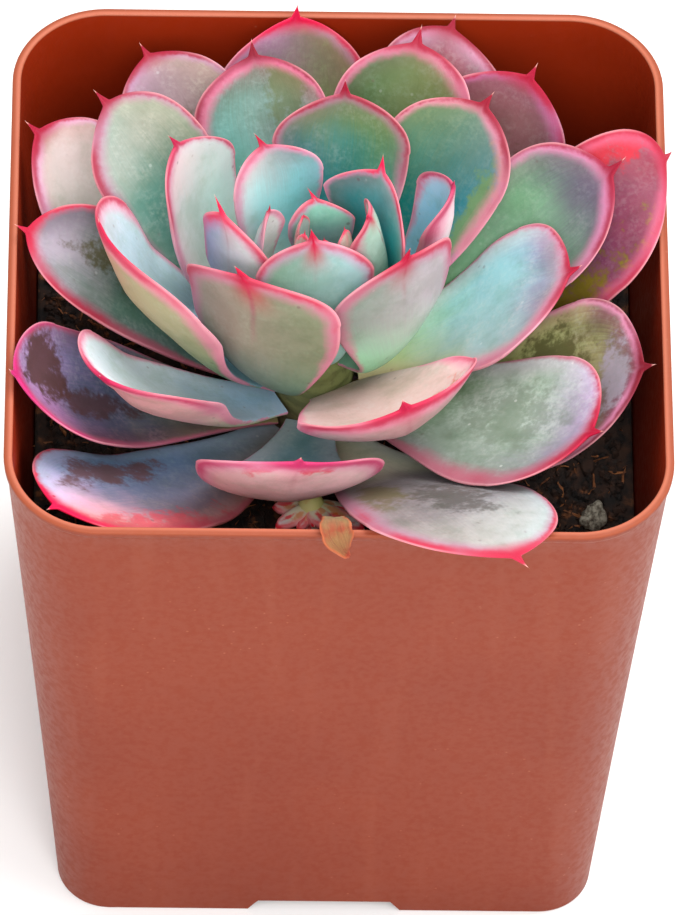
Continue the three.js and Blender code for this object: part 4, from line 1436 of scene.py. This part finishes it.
@dataclass(frozen=True)
class Scatter:
    """How a small shape lies scattered over the soil.

    Tilt is how far each one may lean, as a share of a full turn, and the sizes are scales.
    """

    name: str
    count: int
    tilt: float
    smallest: float
    largest: float

    INPUTS: ClassVar[dict[str, str]] = {
        "Density": "Float", "Seed": "Int", "Smallest": "Float", "Largest": "Float",
        "Tilt": "Float", "Shape": "Object", "Finish": "Material"}
    SHAKE_SCALE: ClassVar[float] = 1400.0
    SHAKE: ClassVar[float] = 0.0011

    def tree(self) -> tuple[bpy.types.NodeTree, dict[str, str]]:
        """Builds the geometry nodes.

        Returns:
            The tree, and the identifier of each named input.
        """
        tree = bpy.data.node_groups.new(self.name, "GeometryNodeTree")
        ports = tree.interface
        ports.new_socket("Geometry", in_out="INPUT", socket_type="NodeSocketGeometry")
        ids = {key: ports.new_socket(key, in_out="INPUT", socket_type=f"NodeSocket{kind}").identifier
               for key, kind in self.INPUTS.items()}
        ports.new_socket("Geometry", in_out="OUTPUT", socket_type="NodeSocketGeometry")
        g = Graph(tree)
        given = g.add("NodeGroupInput").outputs
        points = g.add("GeometryNodeDistributePointsOnFaces", {
            "Mesh": given["Geometry"], "Density": given["Density"], "Seed": given["Seed"]}).outputs["Points"]
        full = g.times(given["Tilt"], 2 * math.pi)
        lean = (g.times(full, -0.5), g.times(full, 0.5))
        angles = []
        for k, (low, high) in enumerate((lean, lean, (0.0, 2 * math.pi))):
            values = {2: low, 3: high, "ID": g.add("GeometryNodeInputID").outputs[0], "Seed": k}
            angles.append(g.add("FunctionNodeRandomValue", values, data_type="FLOAT").outputs[1])
        turn = g.add("ShaderNodeCombineXYZ", dict(enumerate(angles))).outputs[0]
        scale = g.add("FunctionNodeRandomValue", {
            2: given["Smallest"], 3: given["Largest"], "Seed": 9}, data_type="FLOAT").outputs[1]
        shape = g.add("GeometryNodeObjectInfo", {"Object": given["Shape"]}).outputs["Geometry"]
        placed = g.add("GeometryNodeInstanceOnPoints", {
            "Points": points, "Instance": shape, "Rotation": turn, "Scale": scale}).outputs[0]
        real = g.add("GeometryNodeRealizeInstances", {0: placed}).outputs[0]
        here = g.add("GeometryNodeInputPosition").outputs[0]
        shake = g.add("ShaderNodeTexNoise", {"Vector": here, "Scale": self.SHAKE_SCALE}).outputs["Color"]
        shake = g.add("ShaderNodeVectorMath", {0: shake, 1: (0.5, 0.5, 0.5)}, operation="SUBTRACT").outputs[0]
        shake = g.add("ShaderNodeVectorMath", {0: shake, "Scale": self.SHAKE}, operation="SCALE").outputs[0]
        moved = g.add("GeometryNodeSetPosition", {"Geometry": real, "Offset": shake}).outputs[0]
        finish = {"Geometry": moved, "Material": given["Finish"]}
        dressed = g.add("GeometryNodeSetMaterial", finish).outputs[0]
        g.add("NodeGroupOutput", {"Geometry": dressed})
        return tree, ids

    def build(self, surface: bpy.types.Object, shape: bpy.types.Object, material: bpy.types.Material,
              seed: int) -> bpy.types.Object:
        """Scatters the shape.

        Args:
            surface: What it is scattered on.
            shape: The shape, removed afterwards.
            material: What it is made of.
            seed: What sets the places.

        Returns:
            The piece, a plain mesh.
        """
        modifier = surface.modifiers.new(self.name, "NODES")
        modifier.node_group, ids = self.tree()
        area = sum(p.area for p in surface.data.polygons)
        values = {"Density": self.count / area, "Seed": seed % 1000 + self.count, "Smallest": self.smallest,
                  "Largest": self.largest, "Tilt": self.tilt, "Shape": shape, "Finish": material}
        for key, value in values.items():
            modifier[ids[key]] = value
        surface.update_tag()
        bpy.context.view_layer.update()
        mesh = evaluated_mesh(surface)
        bpy.data.objects.remove(shape)
        mesh.name = self.name
        mesh.materials.clear()
        mesh.materials.append(material)
        mesh.shade_flat()
        piece = link(self.name, mesh)
        settle(piece)
        return piece


@dataclass
class Soil:
    """The potting soil: its body, bark chips, grains and fibres."""

    top: float = RIM - 32.0
    relief: float = 0.8
    clear: float = 0.3
    stem_hole: float = 5.8
    stem_hole_foot: float = RIM - 46.3
    rows: int = 64
    ring_steps: tuple[int, int] = (12, 24)
    calm_edge: float = 12.0
    bark_chips: int = 26
    bark_long: tuple[float, float] = (3.5, 7.5)
    bark_thick: float = 1.4
    bark_tilt: float = 0.2
    bark_free_radius: float = 15.0
    bark_inset: float = 0.75
    bark_corner: float = 1.2
    bark_lift: float = 0.15
    bark_spare_draws: int = 8
    grid_half: float = 40.0
    grid_steps: int = 60
    grain_free_radius: float = 8.5
    grain_half: float = 39.5
    grain_radius: float = 52.0
    grains: Scatter = Scatter("soil_grains", 9000, 0.9, 0.35, 1.05)
    fibres: Scatter = Scatter("soil_fibres", 1300, 0.35, 0.5, 1.3)
    seed: int = 20831
    pot: Pot = field(default_factory=Pot)

    def height(self, x: Points, y: Points) -> Points:
        """Height of the soil's smooth surface at places.

        Args:
            x: Their places across the pot.
            y: Their places from front to back.

        Returns:
            Millimetres, one a place.
        """
        waves = np.sin(0.31 * x + 1.1) * np.cos(0.27 * y - 0.4)
        waves = waves + 0.6 * np.sin(0.63 * x - 0.52 * y + 2) + 0.4 * np.sin(1.1 * x + 0.9 * y)
        return self.top + 0.5 * self.relief * waves

    def rough(self, x: Points, y: Points) -> Points:
        """Small lumps of the soil's surface at places.

        Args:
            x: Their places across the pot.
            y: Their places from front to back.

        Returns:
            Millimetres, one a place.
        """
        rng = np.random.default_rng(self.seed)
        lumps = np.zeros_like(x)
        for size, tall in ((5.5, 0.28), (3.1, 0.22), (1.7, 0.16), (1.1, 0.1)):
            for _ in range(5):
                a, phase = rng.uniform(0, 2 * np.pi, 2)
                way = x * math.cos(a) + y * math.sin(a)
                lumps = lumps + tall * np.sin(2 * np.pi / size * way + phase) / 1.6
        return lumps

    def build(self) -> list[bpy.types.Object]:
        """Makes the soil and everything that lies in it.

        Returns:
            The soil's body with its bark, the grains and the fibres.
        """
        earth = EARTH.material()
        body = make_piece("soil_bed", joined([self.bed(), *self.bark()]), earth, crease=180)
        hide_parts("soil")
        surface = self.surface()
        grains = self.grains.build(surface, self.crumb(), earth, self.seed)
        fibres = self.fibres.build(surface, self.fibre(), BARK_FIBRE.material(), self.seed)
        bpy.data.objects.remove(surface)
        return [body, grains, fibres]

    def bed(self) -> Skin:
        """Makes the soil column, with its lumpy surface and the stem's hole.

        Returns:
            Its points and faces.
        """
        pot, steps = self.pot, self.ring_steps
        edge = pot.ring(self.top, pot.wall + self.clear, *steps)
        middle = np.concatenate([STEM_AT + unit(edge[:, :2] - STEM_AT) * self.stem_hole, edge[:, 2:]], 1)
        rings = [pot.ring(pot.floor_top + self.clear, pot.wall + pot.floor_fillet + self.clear, *steps),
                 pot.ring(pot.floor_top + 2 + self.clear, pot.wall + self.clear, *steps)]
        for share in np.linspace(0, 1, self.rows):
            ring = edge * (1 - share) + middle * share
            ring[:, 2] = self.height(ring[:, 0], ring[:, 1])
            ring[:, 2] += self.rough(ring[:, 0], ring[:, 1]) * min(
                1.0, self.calm_edge * share, self.calm_edge * (1 - share))
            rings.append(ring)
        hole = middle.copy()
        hole[:, 2] = self.stem_hole_foot
        return loft([*rings, hole])

    def bark(self) -> list[Skin]:
        """The bark chips, at the places the solid model draws by chance.

        Returns:
            One rough chip each.
        """
        draw = chance(self.seed)
        edge = self.pot.ring(self.top, self.pot.wall + self.clear)[0][0]
        reach = edge - self.bark_inset * self.bark_long[1]
        chips: list[Skin] = []
        rng = np.random.default_rng(self.seed)
        while len(chips) < self.bark_chips:
            x, y = (reach * (2 * next(draw) - 1) for _ in range(2))
            long = self.bark_long[0] + (self.bark_long[1] - self.bark_long[0]) * next(draw)
            tilt = [self.bark_tilt * (2 * next(draw) - 1) for _ in range(2)]
            turn = Euler((*tilt, math.pi * next(draw))).to_matrix()
            for _ in range(self.bark_spare_draws):
                next(draw)
            free = math.hypot(x - STEM_AT[0], y - STEM_AT[1]) > self.bark_free_radius
            if free and math.hypot(x, y) < self.bark_corner * reach:
                z = float(self.height(np.array(x), np.array(y)))
                chips.append(self.chip(long, np.array(turn), np.array([x, y, z + self.bark_lift]), rng))
        return chips

    def chip(self, long: float, turn: Points, at: Points, rng: np.random.Generator, sides: int = 16) -> Skin:
        """One fibrous, split-ended chip of bark.

        Args:
            long: Its length.
            turn: Its turn as a matrix.
            at: Its middle.
            rng: Where its shape's chances come from.
            sides: Points round it.

        Returns:
            Its points and faces.
        """
        ends = rng.uniform(0.25, 0.8, 2)
        ways = np.cos(circle(sides)), np.sin(circle(sides))
        square = [np.sign(way) * np.abs(way) ** 0.55 for way in ways]
        ridges = 1 + 0.16 * rng.standard_normal(sides)
        rings = []
        for s in np.linspace(-0.5, 0.5, 12):
            taper = np.interp(s, [-0.5, -0.35, 0.35, 0.5], [ends[0], 1, 1, ends[1]])
            wobble = ridges * (1 + 0.05 * rng.standard_normal(sides))
            y = square[0] * 0.2 * long * taper * wobble
            z = square[1] * 0.5 * self.bark_thick * taper * wobble
            x = np.full(sides, s * long) + 0.12 * rng.standard_normal(sides)
            rings.append(np.stack([x, y, z], 1) @ turn.T + at)
        return loft(rings)

    def surface(self) -> bpy.types.Object:
        """Makes an open grid over the soil, for things to be scattered on.

        Returns:
            The grid, an object that doesn't stay.
        """
        n = self.grid_steps
        steps = np.linspace(-self.grid_half, self.grid_half, n)
        x, y = np.meshgrid(steps, steps)
        points = np.stack([x, y, self.height(x, y) + self.rough(x, y)], -1).reshape(-1, 3)
        faces = []
        for a in (j * n + i for j in range(n - 1) for i in range(n - 1)):
            centre = points[[a, a + n + 1]].mean(0)
            clear_of_stem = math.hypot(*(centre[:2] - STEM_AT)) > self.grain_free_radius
            in_corner = math.hypot(*centre[:2]) < self.grain_radius
            if clear_of_stem and in_corner and max(abs(centre[0]), abs(centre[1])) < self.grain_half:
                faces.append((a, a + 1, a + n + 1, a + n))
        return add_mesh("soil_surface", packed(points), faces)

    @staticmethod
    def crumb() -> bpy.types.Object:
        """Makes a small lump with twenty faces.

        Returns:
            The lump's object.
        """
        g = (1 + 5**0.5) / 2
        points = [(-1, g, 0), (1, g, 0), (-1, -g, 0), (1, -g, 0), (0, -1, g), (0, 1, g), (0, -1, -g),
                  (0, 1, -g), (g, 0, -1), (g, 0, 1), (-g, 0, -1), (-g, 0, 1)]
        faces = [(0, 11, 5), (0, 5, 1), (0, 1, 7), (0, 7, 10), (0, 10, 11), (1, 5, 9), (5, 11, 4),
                 (11, 10, 2), (10, 7, 6), (7, 1, 8), (3, 9, 4), (3, 4, 2), (3, 2, 6), (3, 6, 8), (3, 8, 9),
                 (4, 9, 5), (2, 4, 11), (6, 2, 10), (8, 6, 7), (9, 8, 1)]
        size = np.array([0.00052, 0.00042, 0.00036])
        return add_mesh("crumb", np.array(points) / 1.9 * size * 1.5, faces)

    @staticmethod
    def fibre() -> bpy.types.Object:
        """Makes a short bent fibre.

        Returns:
            The fibre's object.
        """
        a = circle(4)
        rings = []
        for s in np.linspace(-1, 1, 6):
            thick = 0.16 * (1 - 0.6 * s * s)
            rings.append(np.stack([np.full(4, 2.1 * s), 0.5 * s * s + thick * np.cos(a),
                                   0.3 * s + thick * np.sin(a)], 1))
        points, faces = loft(rings)
        return add_mesh("fibre", points * MM, faces)


@dataclass
class PerliteGrains:
    """The pale mineral grains that lie on the soil."""

    count: int = 4
    rows: int = 26
    sides: int = 40
    waves: tuple[tuple[float, float], ...] = ((1.6, 0.14), (3.2, 0.09), (6.0, 0.05))

    def build(self) -> list[bpy.types.Object]:
        """Makes each grain in the place of its solid.

        Returns:
            One object a grain.
        """
        material = PERLITE.material()
        pieces = []
        for number in range(1, self.count + 1):
            node = f"perlite_grain_{number}"
            low, high = (np.array(corner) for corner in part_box(node))
            points, faces = self.lump(number)
            points = (points - points.min(0)) / (points.max(0) - points.min(0))
            points = ((low + points * (high - low)) - POT_ORIGIN) / MM
            piece = make_piece(f"perlite_{number}", (points, faces), material, crease=180)
            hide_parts(node)
            pieces.append(piece)
        return pieces

    def lump(self, seed: int) -> Skin:
        """A pitted, knobbly ball.

        Args:
            seed: What sets its shape.

        Returns:
            Its points and faces.
        """
        rng = np.random.default_rng(seed)
        waves = [(rng.standard_normal(3) * size, rng.uniform(0, 6.3), tall)
                 for size, tall in self.waves for _ in range(5)]
        a = circle(self.sides)
        rings = []
        for lat in np.linspace(-0.97, 0.97, self.rows) * np.pi / 2:
            ring = np.stack([np.cos(lat) * np.cos(a), np.cos(lat) * np.sin(a),
                             np.full(self.sides, np.sin(lat))], 1)
            swell = 1 + sum(tall * np.sin(ring @ way + phase) for way, phase, tall in waves)
            rings.append(ring * swell[:, None])
        return loft(rings)


@dataclass
class Stem:
    """The short stem, with the scars of lost leaves round it."""

    sides: int = 40
    rows: int = 110
    inset: float = 0.15
    scar: float = 0.12
    scar_turn: float = 2.4
    fine_scar: float = 0.06
    fine_scar_turn: float = 5.1

    def build(self) -> bpy.types.Object:
        """Makes the stem.

        Returns:
            The piece.
        """
        rings = []
        a = circle(self.sides)
        for z in np.linspace(STEM_PROFILE[0][0], STEM_PROFILE[-1][0], self.rows):
            radius = float(np.interp(z, *zip(*STEM_PROFILE)))
            ring = round_ring(STEM_AT, 1.0, RIM + z, self.sides)
            scars = self.scar * np.sin(self.scar_turn * z + 1.3 * np.sin(3 * a))
            scars = scars + self.fine_scar * np.sin(self.fine_scar_turn * z + 5 * a)
            reach = radius - self.inset + scars * min(1, radius / 4)
            ring[:, :2] = STEM_AT + (ring[:, :2] - STEM_AT) * reach[:, None]
            rings.append(ring)
        piece = make_piece("stem_skin", loft(rings), STEM_BARK.material())
        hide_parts("stem")
        return piece


def bent(points: Points, count: int) -> Points:
    """A smooth line through points.

    Args:
        points: The points it passes.
        count: How many points the line gets.

    Returns:
        The line's points.
    """
    padded = np.concatenate([[2 * points[0] - points[1]], points, [2 * points[-1] - points[-2]]])
    out = []
    for t in np.linspace(0, len(points) - 1, count):
        k = min(int(t), len(points) - 2)
        s = t - k
        p0, p1, p2, p3 = padded[k:k + 4]
        out.append(0.5 * (2 * p1 + (p2 - p0) * s + (2 * p0 - 5 * p1 + 4 * p2 - p3) * s**2
                          + (3 * p1 - p0 - 3 * p2 + p3) * s**3))
    return np.array(out)


@dataclass(frozen=True)
class Blade:
    """A thin blade along a line. Curl is how far its sides turn up, as a share of its half width."""

    thick: float
    curl: float
    sides: int

    def skin(self, line: Points, half: Points) -> tuple[Skin, Points, Points]:
        """Makes the blade.

        Args:
            line: Its middle line.
            half: Its half widths.

        Returns:
            Its points and faces, the places on it and the distances from its margin.
        """
        slope = unit(np.gradient(line, axis=0))
        u, y = np.cos(circle(self.sides)), -np.sin(circle(self.sides))
        rings, places, edges = [], [], []
        for k, (at, way, w) in enumerate(zip(line, slope, half)):
            across = np.array([way[1], -way[0], 0.0])
            across /= np.linalg.norm(across)
            over = np.cross(across, way)
            depth = min(self.thick / 2, w)
            rings.append(at + across * (u * w)[:, None] + over * (self.curl * w * u * u + depth * y)[:, None])
            places.append(np.stack([np.full(self.sides, k / (len(line) - 1)), 0.5 + u / 2], 1))
            edges.append(np.stack([(1 - np.abs(u)) * w / 10, smooth_step(-0.12, 0.12, y)], 1))
        return (loft(rings), np.concatenate([*places, [[0, 0.5], [1, 0.5]]]),
                np.concatenate([*edges, [[0.1, 0.5], [0, 0.5]]]))


@dataclass
class OffsetPlant:
    """The young plant under the front leaves. A leaflet is its tip's place and its width."""

    stalk: tuple[Place, ...] = ((-3.3, -21.5, -35), (-3.3, -21.5, -28), (-3.3, -24, -22))
    radius: float = 1.5
    leaflets: tuple[tuple[float, float, float, float], ...] = (
        (-8.2, -28, -22, 2.6), (-5.1, -28.2, -22.4, 1.9), (-2.9, -27.9, -21.6, 1.8), (-1, -28.7, -20.8, 3),
        (3.9, -28.8, -21, 3), (-8.6, -22.6, -24.6, 2.6), (2.4, -22.6, -25.4, 2.8), (-3.4, -27.4, -25.2, 2.6))
    blade: Blade = Blade(thick=1.6, curl=0.2, sides=24)
    sag: float = 0.4
    width_at: tuple[tuple[float, float], ...] = (
        (0, 0.5), (0.2, 0.8), (0.4, 1), (0.6, 1), (0.8, 0.78), (0.93, 0.4), (1, 0.06))
    # The young plant's pale colours are partly its own and partly painted light, made paler to lift it out of
    # the shade it sits in inside the pot.
    look: LeafLook = LeafLook(
        name="skin_offset", root=(190, 200, 60), body=(240, 225, 170), blush=(240, 225, 230),
        under=(238, 214, 206), margin=(240, 150, 150), core=(235, 40, 60), width=0.6, farina=0.1,
        spot_a=Spot((235, 50, 70), 0.62, 0.1, 0.25, 0.3, 0.9),
        spot_b=Spot((220, 120, 40), 0.4, -0.4, 0.2, 0.4, 0.7))

    def build(self) -> bpy.types.Object:
        """Makes the stalk and the leaflets as one piece.

        Returns:
            The piece.
        """
        lift = np.array([0, 0, RIM])
        line = bent(np.array(self.stalk) + lift, 14)
        heart = line[-1]
        parts = [self.bar(line, 16), self.ball(heart, 1.2 * self.radius)]
        rows = [plain_layers(len(points), 0.2) for points, _ in parts]
        for *place, width in self.leaflets:
            tip = np.array(place) + lift
            path = bent(np.array([heart, (heart + tip) / 2 - [0, 0, self.sag], tip]), 28)
            half = width / 2 * np.interp(np.linspace(0, 1, len(path)), *zip(*self.width_at))
            skin, places, edges = self.blade.skin(path, half)
            parts.append(skin)
            rows.append((places, edges))
        piece = make_piece("young_offset", joined(parts), self.look.material(),
                           joined_layers(rows))
        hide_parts("offset_plant")
        return piece

    def bar(self, line: Points, sides: int) -> Skin:
        """Makes a closed round bar along a line that is nearly upright.

        Args:
            line: The bar's middle line.
            sides: Points round it.

        Returns:
            Its points and faces.
        """
        slope = unit(np.gradient(line, axis=0))
        a = circle(sides)
        rings = []
        for at, way in zip(line, slope):
            one = np.cross([0.0, 1.0, 0.0], way)
            one /= np.linalg.norm(one)
            two = np.cross(way, one)
            rings.append(at + self.radius * (np.cos(a)[:, None] * one + np.sin(a)[:, None] * two))
        return loft(rings)

    @staticmethod
    def ball(at: Points, radius: float) -> Skin:
        """A round ball."""
        return loft([round_ring(at[:2], radius * math.cos(b), at[2] + radius * math.sin(b), 20)
                     for b in np.linspace(-1.45, 1.45, 14)])


@dataclass
class DriedLeaf:
    """The papery dead leaf over the front rim. Its spine's last number is the half width."""

    spine: tuple[tuple[float, float, float, float], ...] = (
        (-0.8, -38.4, -6.0, 0.7), (-0.8, -41.4, -1.5, 1.5), (-0.7, -43.7, 1.1, 2.0),
        (-0.3, -45.7, 0.9, 2.1), (0.5, -46.9, -0.6, 1.4), (1.2, -47.2, -1.6, 0.45))
    blade: Blade = Blade(thick=0.8, curl=0.25, sides=28)
    rows: int = 46

    def build(self) -> bpy.types.Object:
        """Makes the crumpled leaf.

        Returns:
            The piece.
        """
        spine = np.array(self.spine)
        line = bent(spine[:, :3] + [0, 0, RIM], self.rows)
        t = np.linspace(0, len(spine) - 1, self.rows)
        half = np.interp(t, np.arange(len(spine)), spine[:, 3])
        half = half * (1 + 0.1 * np.sin(2.3 * t + 1) + 0.06 * np.sin(6.1 * t))
        (points, faces), places, edges = self.blade.skin(line, half)
        x, y, z = points.T
        crumple = 0.12 * np.sin(3.1 * x + 1.7 * z) + 0.08 * np.sin(5.3 * y + 2.1 * x)
        points = points + np.stack([0.5 * crumple, 0.6 * crumple, 0.6 * np.abs(crumple)], 1)
        piece = make_piece("papery_leaf", (points, faces), DryLeafSkin().material(),
                           {"place": places, "edge": edges})
        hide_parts("dried_leaf")
        return piece


@dataclass(frozen=True)
class Lamp:
    """A soft square light that faces the rosette.

    Its place and its side are in metres and its power is in watts.
    """

    name: str
    place: Place
    side: float
    power: float
    colour: Place

    AIM: ClassVar[Place] = (0, 0, 0.1)

    def build(self) -> None:
        """Hangs the light."""
        data = bpy.data.lights.new(self.name, "AREA")
        data.shape, data.size, data.energy, data.color = "SQUARE", self.side, self.power, self.colour
        lamp = link(self.name, data)
        lamp.location = self.place
        lamp.rotation_euler = (Vector(self.AIM) - Vector(self.place)).to_track_quat("-Z", "Y").to_euler()


@dataclass
class Studio:
    """The camera, the lights and the pale floor. Angles are in degrees."""

    elevation: float = 53.706
    azimuth: float = -1.881
    roll: float = 2.16
    distance: float = 1270.7
    target: Place = (1.08, 0.0, 57.35)
    lens: float = 357.3
    sensor: float = 36.0
    clip: tuple[float, float] = (0.01, 20.0)
    sky: float = 0.7
    floor_half: float = 3.0
    floor_paint: tuple[float, float, float, float] = (0.9, 0.9, 0.9, 1.0)
    floor_rough: float = 0.9
    lamps: tuple[Lamp, ...] = (
        Lamp("key", (0.3, 0.25, 1.05), 0.8, 10.5, (1.0, 0.99, 0.97)),
        Lamp("front", (0.05, -0.75, 0.95), 0.6, 8.5, (1.0, 0.99, 0.98)),
        Lamp("fill_left", (-0.8, -0.5, 0.35), 0.5, 2.0, (1.0, 0.98, 0.96)),
        Lamp("fill_right", (0.8, -0.4, 0.4), 0.5, 2.5, (0.97, 0.985, 1.0)),
    )

    def build(self) -> None:
        """Sets up the camera, the lights, the world and the floor."""
        self.camera()
        for lamp in self.lamps:
            lamp.build()
        world = bpy.data.worlds.new("studio")
        world.use_nodes = True
        sky = world.node_tree.nodes["Background"]
        sky.inputs["Color"].default_value = (1.0, 1.0, 1.0, 1.0)
        sky.inputs["Strength"].default_value = self.sky
        bpy.context.scene.world = world
        bpy.context.scene.view_settings.view_transform = "Standard"
        self.floor()

    def camera(self) -> None:
        """Sets the camera at the photograph's angle."""
        el, az, roll = (math.radians(a) for a in (self.elevation, self.azimuth, self.roll))
        back = Vector((math.sin(az) * math.cos(el), -math.cos(az) * math.cos(el), math.sin(el)))
        right = Vector((0, 0, 1)).cross(back).normalized()
        up = back.cross(right)
        turned_right = right * math.cos(roll) + up * math.sin(roll)
        turned_up = up * math.cos(roll) - right * math.sin(roll)
        place = (Vector(self.target) + back * self.distance) * MM + Vector(POT_ORIGIN)
        camera = link("camera", bpy.data.cameras.new("camera"))
        turn = Matrix((turned_right, turned_up, back)).transposed().to_4x4()
        camera.matrix_world = Matrix.Translation(place) @ turn
        camera.data.lens = self.lens
        camera.data.sensor_width = self.sensor
        camera.data.clip_start, camera.data.clip_end = self.clip
        bpy.context.scene.camera = camera

    def floor(self) -> None:
        """Lays the pale floor."""
        h = self.floor_half
        floor = add_mesh("floor", [(-h, -h, 0), (h, -h, 0), (h, h, 0), (-h, h, 0)], [(0, 1, 2, 3)])
        material, shader = new_material("floor_paint")
        shader.inputs["Base Color"].default_value = self.floor_paint
        shader.inputs["Roughness"].default_value = self.floor_rough
        floor.data.materials.append(material)


def main() -> None:
    """Builds every piece and the studio, and reports each."""
    logging.basicConfig(level=logging.INFO, format="%(message)s")
    Studio().build()
    pieces = [*Rosette().build(), GrowingTip().build(), Pot().build(), *Soil().build()]
    pieces += [*PerliteGrains().build(), Stem().build(), OffsetPlant().build(), DriedLeaf().build()]
    for piece in pieces:
        LOG.info("%s: %d faces", piece.name, len(piece.data.polygons))


if __name__ == "__main__":
    main()
